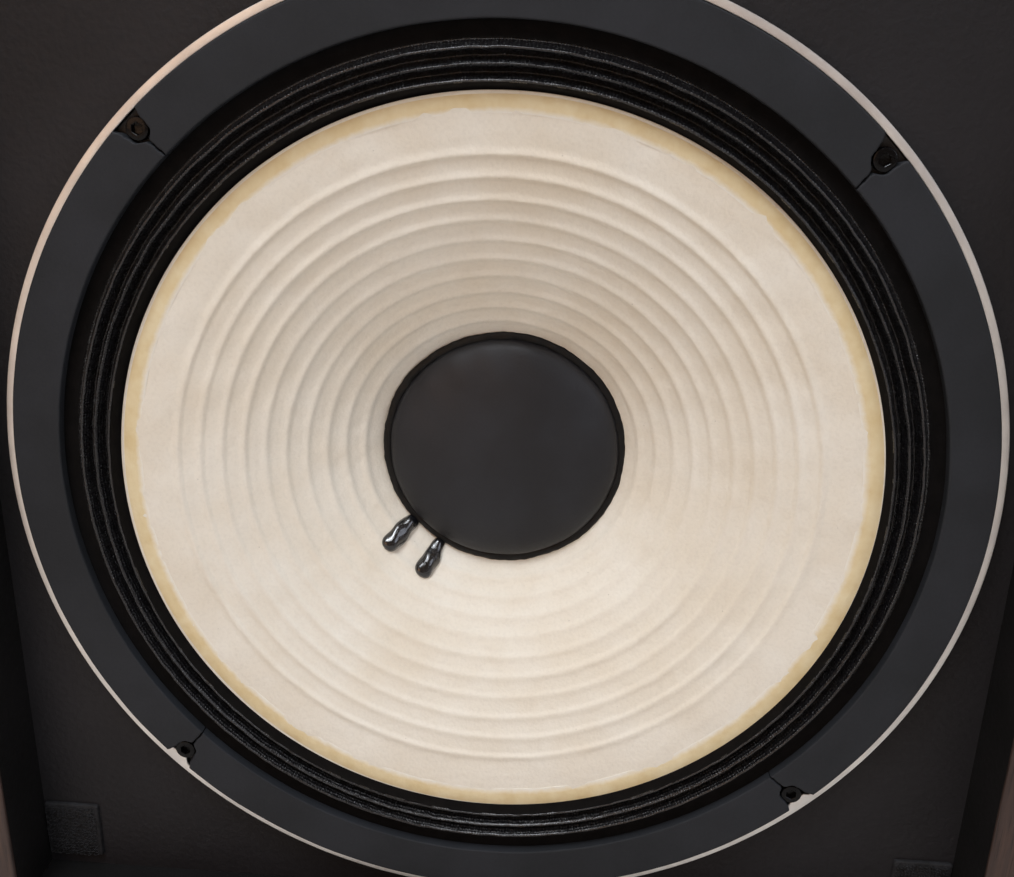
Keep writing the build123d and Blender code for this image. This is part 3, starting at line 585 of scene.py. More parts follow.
class SPEAKER_OT_cabinet_panels(bpy.types.Operator):
    """Four mitred panels, veneered outside and on their edges, with dull near-black painted shade
    inside
    """

    bl_idname = "speaker.cabinet_panels"
    bl_label = "Cabinet panels"
    bl_options = {"REGISTER", "UNDO"}

    def execute(self, context):
        sizes = context.scene.speaker_sizes
        colours = context.scene.speaker_colours
        upright = veneer("oiled_walnut_veneer_upright", 2, colours)
        level = veneer("oiled_walnut_veneer_level", 0, colours)
        # The inside faces are dull and near black: painted shade for the recess walls, which lie in
        # shade.
        paint = mottled("inside_painted_shade", "121112", "0A0A0A", 40, 1.8, 0.2, (0.7, 0.95),
                        Specular_IOR_Level=0.2)
        outline = rounded(
            [(0, -HALF_DEPTH), (BOARD, -HALF_DEPTH), (BOARD, HALF_DEPTH), (0, HALF_DEPTH)],
            in_mm(sizes.edge_round),
        )
        inset, y = outline[:, 0], outline[:, 1]
        joint = 0.06
        for name, side, standing in (
            ("side_panel_left", -1, True), ("side_panel_right", 1, True),
            ("bottom_panel", -1, False), ("top_panel", 1, False),
        ):
            near, far = (HALF_WIDTH, HALF_HEIGHT) if standing else (HALF_HEIGHT, HALF_WIDTH)
            across = side * (near - inset)
            ends = [end * (far - inset - joint) for end in (-1, 1)]
            loops = []
            for along in ends:
                x, z = (across, along) if standing else (along, across)
                loops.append(np.stack([x, y, z + HALF_HEIGHT], axis=-1) * MM)
            piece = make(
                f"{name}_veneered", [prism(*loops)], upright if standing else level, CABINET,
                replaces=(name,),
            )
            # Painted shade: the faces on the inside take the dull near-black material.
            middles = face_middles(piece) / MM
            place = np.abs(middles[:, 0]) if standing else np.abs(middles[:, 2] - HALF_HEIGHT)
            inner = near - BOARD
            second_material(piece, paint, place < inner + 0.02)
        return {"FINISHED"}


class SPEAKER_OT_grille_pads(bpy.types.Operator):
    """Four pieces of hook tape: a woven backing that stands full of small nylon hooks"""

    bl_idname = "speaker.grille_pads"
    bl_label = "Grille pads"
    bl_options = {"REGISTER", "UNDO"}

    def execute(self, context):
        low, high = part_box("grille_pads")
        inner_low = np.array([low.x, low.z]) / MM
        inner_high = np.array([high.x, high.z]) / MM
        width, height, hook_h, hook_r, wire_r = 20.0, 22.0, 1.5, 0.55, 0.13
        rng = np.random.default_rng(71)
        hook = np.linspace(0, 1.25 * math.pi, 6)
        grids = []
        front = low.y / MM
        for left in (inner_low[0], inner_high[0] - width):
            for bottom in (inner_low[1], inner_high[1] - height):
                corners = [
                    (left, bottom), (left + width, bottom),
                    (left + width, bottom + height), (left, bottom + height),
                ]
                edge = rounded(corners, 1.0)
                middle = edge.mean(axis=0)
                loops = []
                for y, inset in (
                    (BAFFLE_Y / MM, 0), (front + hook_h + 0.3, 0), (front + hook_h, 0.3),
                ):
                    pulled = middle + (edge - middle) * (1 - inset / 10)
                    x, z = pulled.T
                    loops.append(np.stack([x, y + 0 * x, z], axis=-1))
                grids.append(prism(*loops) * MM)
                xs = np.arange(left + 1.0, left + width - 0.8, 1.15)
                zs = np.arange(bottom + 1.0, bottom + height - 0.8, 1.25)
                for x in xs:
                    for z in zs:
                        lean = rng.uniform(-0.5, 0.5)
                        size = rng.uniform(0.8, 1.0) * hook_h * 0.5
                        arc_x = x + rng.uniform(-0.4, 0.4) + hook_r * np.cos(hook) * math.cos(lean)
                        arc_z = z + rng.uniform(-0.4, 0.4) + hook_r * np.cos(hook) * math.sin(lean)
                        arc_y = front + hook_h - size * (np.sin(hook) + 0.45)
                        arc_y = np.clip(arc_y, front + 0.15, front + hook_h + 0.1)
                        arc_y[0] = front + hook_h + 0.1
                        path = np.stack([arc_x, arc_y, arc_z], axis=-1)
                        grids.append(tube(path, wire_r, 4))
        make(
            "grille_hook_pads", grids, hook_tape(), CABINET,
            replaces=("grille_pads",), sharp=60,
        )
        return {"FINISHED"}


class SPEAKER_OT_damping_pads(bpy.types.Operator):
    """Soft wadding inside the cabinet, crowned, with its sides drawn in between the corners"""

    bl_idname = "speaker.damping_pads"
    bl_label = "Damping pads"
    bl_options = {"REGISTER", "UNDO"}

    def execute(self, context):
        # Carded polyester wadding: white, matt, and cloudy with loose fibres.
        wadding = mottled("polyester_wadding", "E6E3DB", "CFCBC1", 8, 0.8, 0.5, (0.85, 1.0))
        side_t, back_t = 20, 18
        side_x = HALF_WIDTH - BOARD - (side_t / 2 + 0.2)
        back_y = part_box("damping_pads")[1].y / MM - back_t / 2
        boxes = []
        for side in (-1, 1):
            boxes.append(((side * side_x, 12, 195), (side_t, 235, 270)))
            boxes.append(((side * side_x, 12, 466), (side_t, 235, 190)))
        boxes.append(((0, back_y, 370), (280, back_t, 370)))
        latitude = np.linspace(-math.pi / 2, math.pi / 2, 61)[:, None]
        longitude = turns(120)[None, :]
        for k, (middle, size) in enumerate(boxes):
            thin = int(np.argmin(size))
            wide = [axis for axis in range(3) if axis != thin]
            spread = squared(np.cos(latitude), 0.28)
            plane_a = squared(np.cos(longitude), 0.22) * spread
            plane_b = squared(np.sin(longitude), 0.22) * spread
            drawn = 1 - 0.035 * (1 - np.abs(plane_a) ** 2) * (np.abs(plane_b) ** 6)
            drawn_b = 1 - 0.035 * (1 - np.abs(plane_b) ** 2) * (np.abs(plane_a) ** 6)
            grid = np.zeros(plane_a.shape + (3,))
            grid[..., wide[0]] = plane_a * drawn_b * size[wide[0]] / 2
            grid[..., wide[1]] = plane_b * drawn * size[wide[1]] / 2
            lumps = 1 + 0.05 * ripple(grid[..., wide[0]], grid[..., wide[1]], 30, 90, 16, 90 + k)
            thickness = squared(np.sin(latitude), 0.6) * size[thin] / 2
            grid[..., thin] = thickness * np.clip(0.93 * lumps, 0, 1)
            piece = make(
                f"damping_pad_{k + 1}", [(grid + np.array(middle)) * MM], wadding, CABINET,
                replaces=("damping_pads",) if k == 0 else (),
            )
        return {"FINISHED"}


# ---------------------------------------------------------------- woofer

def cone_curve(radius):
    """Depth of the woofer cone's face: the fall grows with the distance from its edge to the
    power 1.9, so that it is shallow at the edge and steep at the neck."""
    inwards = np.clip(CONE_EDGE - radius, 0, None)
    return CONE_EDGE_DEPTH + CONE_FALL * (inwards / CONE_SPAN) ** 1.9


def cut_off_centre(radius, angle):
    """Radii near the cone's edge, which is cut off centre: 1.6 mm short at the top left, going
    over to 0.4 mm long at the bottom right. The shift grows as an S-curve from 108 mm outwards."""
    short = 0.6 + 0.75 * np.sin(angle) - 0.65 * np.cos(angle)
    return radius - short * smooth_step((radius - 108) / 10.5)


def ribs(radius, angle, height, width, count):
    """Raised rings, bell-shaped across and steeper on the side of the dust cap, each a little
    uneven round the cone. They step inwards by 6.6 mm, each step shorter than the last."""
    total = np.zeros(np.broadcast(radius, angle).shape)
    for k in range(count):
        uneven = 1 + 0.10 * wander(angle, 40 + k, (1, 2, 3, 5))
        centre = 100.0 - 6.6 * k + 0.071 * k * (k - 1) + 0.10 * wander(angle, 80 + k, (2, 3, 5, 7))
        side = np.where(radius > centre, 1.9, 0.85) * width
        total += height * uneven * np.exp(-(((radius - centre) / side) ** 2))
    return total


class SPEAKER_OT_woofer_cone(bpy.types.Operator):
    """Ribbed paper cone, with a face of its own shape and a plain back"""

    bl_idname = "speaker.woofer_cone"
    bl_label = "Woofer cone"
    bl_options = {"REGISTER", "UNDO"}

    def execute(self, context):
        sizes = context.scene.speaker_sizes
        colours = context.scene.speaker_colours
        segments = 360
        angle = turns(segments)[None, :]
        outer = np.linspace(CONE_EDGE, 103, 22)
        ribbed = np.linspace(102.6, 41, 165)
        face_r = np.concatenate([outer, ribbed, np.linspace(40.2, NECK, 7)])[:, None]
        x, z = face_r * np.cos(angle), face_r * np.sin(angle)
        height, width = in_mm(sizes.rib_height), in_mm(sizes.rib_width)
        face = cone_curve(face_r) - ribs(face_r, angle, height, width, sizes.rib_count)
        calm = smooth_step((117.5 - face_r) / 6)
        pulp = 0.09 * ripple(x, z, 9, 30, 28, 5) + 0.035 * ripple(x, z, 3, 7, 28, 6)
        face = face + calm * pulp
        edge = cone_curve(face_r[:1]) + np.array([[0.75], [0.15]]) + 0 * angle
        edge_r = CONE_EDGE + 0.2 + 0.06 * wander(angle, 7, (9, 14, 23)) + np.zeros((2, 1))
        back_r = np.linspace(NECK, CONE_EDGE, 24)[:, None] + 0 * angle
        radius = np.concatenate([face_r + 0 * angle, back_r, edge_r, face_r[:1] + 0 * angle])
        radius = cut_off_centre(radius, angle)
        depth = np.concatenate([face, cone_curve(back_r) + 0.9, edge, face[:1]])
        make(
            "woofer_cone_paper", [lathe(WOOFER, radius, depth, segments)], coated_pulp(colours),
            WOOFER_BODY, replaces=("woofer_cone",),
        )
        return {"FINISHED"}


class SPEAKER_OT_edge_glue(bpy.types.Operator):
    """Band of dried glue just inside the cone's edge, its inner border uneven"""

    bl_idname = "speaker.edge_glue"
    bl_label = "Edge glue"
    bl_options = {"REGISTER", "UNDO"}

    def execute(self, context):
        sizes = context.scene.speaker_sizes
        colours = context.scene.speaker_colours
        segments = 720
        angle = turns(segments)[None, :]
        ragged = 0.15 * wander(angle, 11, (1, 2, 4, 7, 15, 31, 57))
        inner = 117.7 - in_mm(sizes.glue_width) + ragged
        outer = 117.75 + 0.10 * wander(angle, 12, (5, 9, 17, 33))
        across = np.linspace(0, 1, 12)[:, None]
        radius = inner + (outer - inner) * across
        lumps = 1 + 0.25 * ripple(radius * np.cos(angle), radius * np.sin(angle), 3, 12, 20, 13)
        film = 0.02 + 0.15 * np.sin(np.pi * across) * np.clip(lumps, 0.3, 2)
        front = cone_curve(radius) - film
        back = cone_curve(radius) + 0.3
        radius = cut_off_centre(out_and_back(radius, radius), angle)
        depth = out_and_back(front, back)
        share = out_and_back(across, across) + 0 * angle
        uv = np.stack([share, share], axis=-1)
        make(
            "woofer_edge_glue_film", [lathe(WOOFER, radius, depth, segments)],
            dried_glue(colours), WOOFER_BODY, uvs=[uv],
            replaces=("woofer_edge_glue",),
        )
        return {"FINISHED"}


class SPEAKER_OT_woofer_surround(bpy.types.Operator):
    """Pleated cloth surround: three rounded crests between the frame's seat and the cone"""

    bl_idname = "speaker.woofer_surround"
    bl_label = "Woofer surround"
    bl_options = {"REGISTER", "UNDO"}

    def execute(self, context):
        sizes = context.scene.speaker_sizes
        segments = 640
        angle = turns(segments)[None, :]
        height = in_mm(sizes.pleat_height)
        first_crest, pitch, valley = 128.4, 4.25, 2.1
        fold_r = np.linspace(130.9, 118.1, 72)
        crest = 0.5 + 0.5 * np.cos((fold_r - first_crest) / pitch * TURN)
        fold_d = valley - height * crest ** 0.9
        radius = np.concatenate([[140.8, 136.0, 133.5, 131.3], fold_r, [117.4, 113.6]])
        front = np.concatenate([[1.75, 1.75, 1.8, 1.95], fold_d, [2.95, 3.1]])
        x, z = radius[:, None] * np.cos(angle), radius[:, None] * np.sin(angle)
        loose = smooth_step((131.2 - radius) / 1.5) * smooth_step((radius - 117.9) / 1.5)
        loose = loose[:, None]
        wavy = front[:, None] + loose * (0.07 * ripple(x, z, 3, 8, 24, 21))
        wavy += loose * 0.07 * wander(angle, 23, (40, 57, 81, 113, 149))
        sides = radius[:, None] + loose * 0.05 * ripple(x, z, 6, 20, 24, 22)
        radius_loop, depth_loop = shell(sides, wavy, 0.42)
        uv = lathe_uv(radius_loop[:, 0], depth_loop[:, 0], segments)
        cloth = doped_cloth("doped_pleated_cotton", "0B0B0E", 1.1, 0.20, (0.16, 0.42), 0.45)
        piece = make(
            "woofer_surround_cloth", [lathe(WOOFER, radius_loop, depth_loop, segments)], cloth,
            uvs=[uv], sharp=80, replaces=("woofer_surround",),
        )
        stretch_between(piece)
        # The flat foot and the last slope are drawn dull, darker black without the dope's glints:
        # painted shade along the gasket's inner edge and the cone's edge.
        plain = mottled("dull_cotton_painted_shade", "0C0A0A", "060505", 4, 0.8, 0.08, (0.8, 1.0),
                        Specular_IOR_Level=0.15)
        # Painted shade: the foot beyond 131 mm and the slope inside 119.5 mm take the dull black.
        middles = (face_middles(piece) - WOOFER) / MM
        away = np.hypot(middles[:, 0], middles[:, 2])
        second_material(piece, plain, (away > 131.0) | (away < 119.5))
        return {"FINISHED"}


class SPEAKER_OT_woofer_gasket(bpy.types.Operator):
    """Four arcs of gasket that clamp the surround, notched where they meet over the bolts"""

    bl_idname = "speaker.woofer_gasket"
    bl_label = "Woofer gasket"
    bl_options = {"REGISTER", "UNDO"}

    def execute(self, context):
        inner_r, outer_r, front_face, back_face, roll = 135.5, 150.3, -1.7, 1.7, 0.55
        notch_r = [135, 140.6, 141.6, 142.6, 143.6, 145.6, 147.2, 148.4, 149.6, 150.6]
        notch_half = [0.22, 0.26, 0.5, 2.2, 3.1, 3.5, 3.7, 4.0, 4.6, 5.2]
        edge = np.array([0, 0.08, 0.2, 0.36, 0.6]) / (outer_r - inner_r)
        across = np.concatenate([edge, np.linspace(0.06, 0.94, 34), 1 - edge[::-1]])[:, None]
        along = (0.5 - 0.5 * np.cos(np.pi * np.linspace(0, 1, 130)))[None, :]
        grids = []
        for quarter in range(4):
            first = BOLT_START + quarter * TURN / 4
            turn = first + TURN / 4 * along
            inner = inner_r + 0.08 * wander(turn, 31, (9, 17, 29, 41))
            radius = inner + (outer_r - inner) * across
            half = np.interp(radius, notch_r, notch_half)
            jag = 0.10 * np.sin(radius * 2.1 + quarter) + 0.06 * np.sin(radius * 5.3 + 2 * quarter)
            tilt = 0.10 * (radius - 143)
            start = first + (half + jag + tilt) / radius
            end = first + TURN / 4 - (half - 0.8 * jag - tilt) / radius
            turn = start + (end - start) * along
            from_edge = np.minimum(across, 1 - across) * (outer_r - inner_r)
            from_end = np.minimum(along, 1 - along) * (end - start) * radius
            near = np.clip(roll - np.minimum(from_edge, from_end), 0, None)
            x, z = radius * np.cos(turn), radius * np.sin(turn)
            drop = roll - np.sqrt(np.clip(roll ** 2 - near ** 2, 0, None))
            front = front_face + drop + 0.04 + 0.04 * ripple(x, z, 14, 40, 16, 33)
            shape = np.stack([x, front, z], axis=-1)
            under = np.stack([x, back_face + 0 * x, z], axis=-1)
            grids += [shape, under]
            for line in (0, -1):
                grids.append(np.stack([shape[line], under[line]]))
                grids.append(np.stack([shape[:, line], under[:, line]]))
        grids = [WOOFER + grid * MM for grid in grids]
        # Dense foam rubber, cut from sheet: charcoal, quite matt, with a fine skin.
        rubber = mottled(
            "dense_foam_rubber", "272A2F", "212428", 24, 0.8, 0.05, (0.6, 0.8),
            Specular_IOR_Level=0.3,
        )
        make(
            "woofer_gasket_arcs", grids, rubber, CABINET,
            replaces=("woofer_gasket",),
        )
        return {"FINISHED"}


class SPEAKER_OT_woofer_frame(bpy.types.Operator):
    """Cast frame: bright turned rim, black seat, six spokes and the ring that holds the magnet"""

    bl_idname = "speaker.woofer_frame"
    bl_label = "Woofer frame"
    bl_options = {"REGISTER", "UNDO"}

    def execute(self, context):
        rim_r, seat_depth, lip_reach = 150.5, 2.2, 1.5
        upper = [
            (rim_r, 0), (153, 0), (153, 6), (140.5, 6), (136.5, 24), (131.2, 28.3),
            (126.5, 25.9), (131.5, 22), (134, 5.6), (131, 5.6), (131, seat_depth),
            (rim_r, seat_depth),
        ]
        lower = [
            (86.5, 56.7), (91.5, 60.4), (82, 68), (78, 72), (78, 80), (34, 80), (34, 76.5),
            (74, 76.5), (74, 68), (63, 68), (63, 64), (77, 64),
        ]
        # At the two lower bolts the rim reaches inwards as a small lip.
        segments, quarter = 720, TURN / 4
        away = (turns(segments) - BOLT_START + quarter / 2) % quarter - quarter / 2
        lip = smooth_step((math.radians(1.75) - np.abs(away)) / math.radians(0.5))
        lip = lip * (np.sin(turns(segments)) < 0)
        grids = []
        for outline in (upper, lower):
            loop = rounded(outline, 0.4, 3)
            at_edge = (np.abs(loop[:, 0] - rim_r) < 0.45) & (loop[:, 1] < seat_depth + 0.1)
            radius = loop[:, :1] - lip_reach * at_edge[:, None] * lip
            grids.append(lathe(WOOFER, radius, loop[:, 1], segments))
        share = np.linspace(0, 1, 12)
        for spoke in range(6):
            middle = math.radians(81 + 60 * spoke)
            half = 9.5 - 1.5 * share
            loops = []
            for side, lift in ((-1, 0), (1, 0), (1, 1), (-1, 1), (-1, 0)):
                radius = 127.5 - 42.0 * share + 3.7 * lift
                turn = middle + side * half / radius
                depth = 25.1 + 32.3 * share + 4.4 * lift
                loops.append(about_axis(radius, turn, depth))
            grids.append(WOOFER + prism(*np.stack(loops, axis=1)) * MM)
        # Cast aluminium with its face turned and clear-lacquered: satin, with fine tool marks.
        turned = mottled(
            "turned_cast_aluminium", "F2F0EC", "E2E0DD", 14, 0.6, 0.02, (0.42, 0.58),
            Metallic=1.0,
        )
        piece = make(
            "woofer_cast_frame", grids, turned, CABINET, sharp=30,
            replaces=("woofer_frame",),
        )
        # Everything but the turned rim keeps the casting's black crackle paint.
        crackle = mottled("black_crackle_paint", "1C1C1E", "111113", 6, 0.9, 0.12, (0.35, 0.6))
        middles = (face_middles(piece) - WOOFER) / MM
        radius = np.hypot(middles[:, 0], middles[:, 2])
        rim = (middles[:, 1] < 0.35) & (radius > 148.8)
        side = (radius > 152.5) & (middles[:, 1] < 5.5)
        second_material(piece, crackle, ~(rim | side))
        return {"FINISHED"}


class SPEAKER_OT_woofer_bolts(bpy.types.Operator):
    """Four socket-head screws, sunk in the gasket's notches"""

    bl_idname = "speaker.woofer_bolts"
    bl_label = "Woofer bolts"
    bl_options = {"REGISTER", "UNDO"}

    def execute(self, context):
        segments = 96
        angle = turns(segments)[None, :]
        flat = np.pi / 3
        hexagon = 1.55 / np.cos((angle + flat / 2) % flat - flat / 2)
        knurl = 1 + 0.022 * np.sign(np.cos(32 * angle))
        low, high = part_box("woofer_bolts")
        top = (low.y - WOOFER[1]) / MM
        end = (high.y - WOOFER[1]) / MM
        head_r, head_h, shank_r = 3.36 * knurl, 3.0, 2.0
        rows = [
            (0, top + 1.7), (hexagon, top + 1.6), (hexagon, top + 0.12), (hexagon + 0.15, top),
            (2.95, top), (3.2, top + 0.1), (head_r, top + 0.35), (head_r, top + head_h),
            (shank_r, top + head_h), (shank_r, end - 0.5), (1.6, end), (0, end),
        ]
        radius, depth = profile(rows, angle)
        places = [WOOFER + BOLT_CIRCLE * MM * facing(BOLT_START + k * TURN / 4) for k in range(4)]
        grids = [lathe(place, radius, depth, segments) for place in places]
        # Alloy steel, black-oxided and oiled: near black, with small wet glints.
        steel = mottled(
            "oiled_black_oxide_steel", "08080A", "040405", 3, 1.2, 0.16, (0.12, 0.35),
            Specular_IOR_Level=0.15, Coat_Weight=0.12, Coat_Roughness=0.05,
        )
        make(
            "woofer_socket_screws", grids, steel, CABINET, sharp=30,
            replaces=("woofer_bolts",),
        )
        return {"FINISHED"}


class SPEAKER_OT_dust_cap(bpy.types.Operator):
    """Domed dust cap of doped cloth, with a bead of black cement round its edge"""

    bl_idname = "speaker.dust_cap"
    bl_label = "Dust cap"
    bl_options = {"REGISTER", "UNDO"}

    def execute(self, context):
        segments = 240
        angle = turns(segments)[None, :]
        centre = WOOFER + np.array([0.8, 0, 0.1]) * MM
        cap_r, rim_depth, crown = 38.7, 34.9, 8.7
        face_r = np.linspace(0, cap_r, 44)[:, None]
        share = face_r / cap_r
        dome = rim_depth - crown * np.sqrt(np.clip(1 - share ** 2.1, 0, 1)) + 0 * angle
        x, z = face_r * np.cos(angle), face_r * np.sin(angle)
        dome = dome + 0.10 * share * ripple(x, z, 10, 26, 16, 51)
        radius = np.concatenate([face_r + 0 * angle, face_r[::-1] + 0 * angle])
        depth = np.concatenate([dome, dome[::-1] + 0.8])
        # Cloth formed to a dome and doped: charcoal, with a dull sheen and a fine dry grain.
        cloth = mottled(
            "doped_cap_cloth", "23252A", "1B1C20", 20, 0.9, 0.06, (0.42, 0.6),
            Specular_IOR_Level=0.4,
        )
        make(
            "woofer_dust_cap_dome", [lathe(centre, radius, depth, segments)], cloth, WOOFER_BODY,
            replaces=("woofer_dust_cap",),
        )
        segments = 480
        angle = turns(segments)[None, :]
        rough_edge = 0.30 * wander(angle, 52, (3, 6, 11))
        rough_edge += 0.30 * wander(angle, 53, (23, 41, 61, 87))
        outer = 41.0 + rough_edge
        inner = 37.8 + 0.15 * wander(angle, 54)
        across = np.linspace(0, 1, 12)[:, None]
        bead_r = inner + (outer - inner) * across
        hump = np.sin(np.pi * across) ** 0.6
        swell = 0.8 + 0.12 * ripple(bead_r * np.cos(angle), bead_r * np.sin(angle), 3, 9, 16, 55)
        bead_front = np.minimum(cone_curve(bead_r) - 0.1, 35.3) - swell * hump
        bead_back = cone_curve(bead_r) + 0.3
        radius, depth = out_and_back(bead_r, bead_r), out_and_back(bead_front, bead_back)
        # Rubber cement run out thin: dull, and blacker than the cap's cloth.
        cement = mottled("cap_edge_cement", "080707", "030303", 5, 1.3, 0.14, (0.4, 0.65),
                         Specular_IOR_Level=0.3)
        make(
            "woofer_cap_cement", [lathe(centre, radius, depth, segments)],
            cement, WOOFER_BODY,
        )
        return {"FINISHED"}


class SPEAKER_OT_lead_cement(bpy.types.Operator):
    """Two lumps of black cement over the joints between the coil's leads and the tinsel"""

    bl_idname = "speaker.lead_cement"
    bl_label = "Lead cement"
    bl_options = {"REGISTER", "UNDO"}

    def execute(self, context):
        start_r, length, half_width, flatness = 39.6, 12.6, 3.2, 0.72
        t = np.linspace(0, 1, 48)[:, None]
        round_way = turns(40)[None, :]
        radius = start_r + length * t
        ends = np.clip(1 - (2 * t - 1) ** 6, 0, 1) ** 0.5
        grids = []
        for number, (degrees, neck) in enumerate(zip(LEAD_ANGLES, (0.90, 0.72))):
            turn = math.radians(degrees)
            half = half_width * (neck + (1.02 - neck) * smooth_step((t - 0.25) / 0.3)) * ends
            lumps = 1 + 0.05 * np.sin(9 * t + 2 * np.cos(round_way) + 2 * number)
            lumps += 0.05 * np.sin(3 * round_way + 13 * t + number)
            sideways = half * np.cos(round_way) * lumps
            height = flatness * half * np.sin(round_way) * lumps
            slope = cone_curve(radius + 0.5) - cone_curve(radius - 0.5)
            leaning = np.sqrt(1 + slope ** 2)
            depth = cone_curve(radius) - 0.5 - height / leaning
            away = radius + slope * height / leaning
            x = away * math.cos(turn) - math.sin(turn) * sideways
            z = away * math.sin(turn) + math.cos(turn) * sideways
            grids.append(WOOFER + np.stack([x, depth, z], axis=-1) * MM)
        # Rubber cement, black and wet-looking, with small dents that catch the light.
        cement = mottled("lead_cement", "101216", "08080A", 5, 1.5, 0.30, (0.12, 0.25),
                         Coat_Weight=1.0, Coat_Roughness=0.06)
        make(
            "woofer_lead_cement_lumps", grids, cement, WOOFER_BODY,
            replaces=("woofer_lead_cement",),
        )
        return {"FINISHED"}


class SPEAKER_OT_spiders(bpy.types.Operator):
    """Corrugated spiders of the woofer and the midrange: sine waves in a thin sheet"""

    bl_idname = "speaker.spiders"
    bl_label = "Spiders"
    bl_options = {"REGISTER", "UNDO"}

    def execute(self, context):
        # Cotton dipped in phenolic resin: amber brown, stiff, with the weave standing out.
        cloth = doped_cloth("resin_dipped_cotton", "9A7434", 1.0, 0.16, (0.4, 0.7), 0.0)
        for name, centre, body, (foot, bend), inner, level, swing, pitch, wall in (
            ("woofer", WOOFER, WOOFER_BODY, (75.8, 63.2), 25.7, 63.0, 1.3, 5.9, 0.5),
            ("midrange", MIDRANGE, MIDRANGE_BODY, (30.8, 24.2), 13.2, 27.6, 0.7, 3.0, 0.4),
        ):
            wave_r = np.linspace(bend - 0.2, inner + 2.2, 60)
            wave_d = level + swing * np.sin((bend - 0.2 - wave_r) / pitch * TURN)
            front_r = np.concatenate([[foot, bend], wave_r, [inner]])
            front_d = np.concatenate([[level + wall, level + wall], wave_d, [level - 0.2]])
            radius, depth = shell(front_r, front_d, wall * 0.9)
            piece = make(
                f"{name}_corrugated_spider", [lathe(centre, radius, depth, 180)], cloth,
                uvs=[lathe_uv(radius, depth, 180)], sharp=80,
                replaces=(f"{name}_spider",),
            )
            stretch_between(piece)
        return {"FINISHED"}


class SPEAKER_OT_tinsel_leads(bpy.types.Operator):
    """Two braided leads that swing between the moving cone and the frame's terminals"""

    bl_idname = "speaker.tinsel_leads"
    bl_label = "Tinsel leads"
    bl_options = {"REGISTER", "UNDO"}

    def execute(self, context):
        # Tinned copper braid over cotton: silvery, soft, with a fine diagonal weave.
        braid = mottled(
            "tinned_copper_braid", "C9B79A", "9C8663", 2, 0.6, 0.15, (0.3, 0.5), Metallic=0.8,
        )
        # Each lead's points: distance from the axis, degrees round it, and depth.
        routes = (
            (
                (54, LEAD_ANGLES[0], 30.5), (74, 225, 38), (97, 231, 45), (103, 239, 58),
                (94, 252, 72), (82.4, 264.4, 82),
            ),
            (
                (54, LEAD_ANGLES[1], 30.5), (74, 240, 38), (97, 243, 45), (104, 249, 58),
                (94, 262, 72), (82.4, 275.6, 82),
            ),
        )
        grids = []
        for route in routes:
            radius, degrees, depth = np.array(route, float).T
            points = about_axis(radius, np.radians(degrees), depth)
            grids.append(WOOFER + tube(through(points, 60), 0.78, 12))
        piece = make(
            "woofer_tinsel_braid", grids, braid, replaces=("woofer_tinsel_leads",),
        )
        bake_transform(piece)
        return {"FINISHED"}


class SPEAKER_OT_terminal_springs(bpy.types.Operator):
    """Two coil springs behind the push buttons: a round wire along a helix of 1.5 mm pitch"""

    bl_idname = "speaker.terminal_springs"
    bl_label = "Terminal springs"
    bl_options = {"REGISTER", "UNDO"}

    def execute(self, context):
        # Spring wire with bright nickel plate.
        wire = mottled(
            "nickel_plated_wire", "D5D2CC", "BDBAB4", 6, 0.6, 0.01, (0.12, 0.25), Metallic=1.0,
        )
        coil_r, wire_r, pitch = 3.0, 0.3, 1.5
        for colour in ("red", "black"):
            node = f"terminal_spring_{colour}"
            low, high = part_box(node)
            y = np.linspace(low.y / MM + wire_r, high.y / MM - wire_r, 90)
            turn = (y - y[0]) / pitch * TURN
            x = (low.x + high.x) / 2 / MM + coil_r * np.cos(turn)
            z = (low.z + high.z) / 2 / MM + coil_r * np.sin(turn)
            piece = make(
                f"{node}_coil", [tube(np.stack([x, y, z], axis=-1), wire_r, 10)], wire, CABINET,
                replaces=(node,),
            )
            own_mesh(piece)
        return {"FINISHED"}


# ---------------------------------------------------------------- midrange, tweeter and port

def roll_surround(name, node, centre, ends, outer, inner, height, level, wall, cloth):
    """Half-roll surround: a half ellipse in section between a flat foot and a flat lip, blended
    from the frame to the moving part. The level goes from the foot's depth to the lip's."""
    foot_r, lip_r = ends
    roll = np.linspace(0, math.pi, 28)
    middle, half = (outer + inner) / 2, (outer - inner) / 2
    roll_r = middle + half * np.cos(roll)
    roll_d = level[0] + (level[1] - level[0]) * roll / math.pi - height * np.sin(roll)
    front_r = np.concatenate([[foot_r], roll_r, [lip_r]])
    front_d = np.concatenate([[level[0]], roll_d, [level[1] + 0.1]])
    radius, depth = shell(front_r, front_d, wall)
    piece = make(
        name, [lathe(centre, radius, depth, 240)], cloth,
        uvs=[lathe_uv(radius, depth, 240)], sharp=80, replaces=(node,),
    )
    stretch_between(piece)


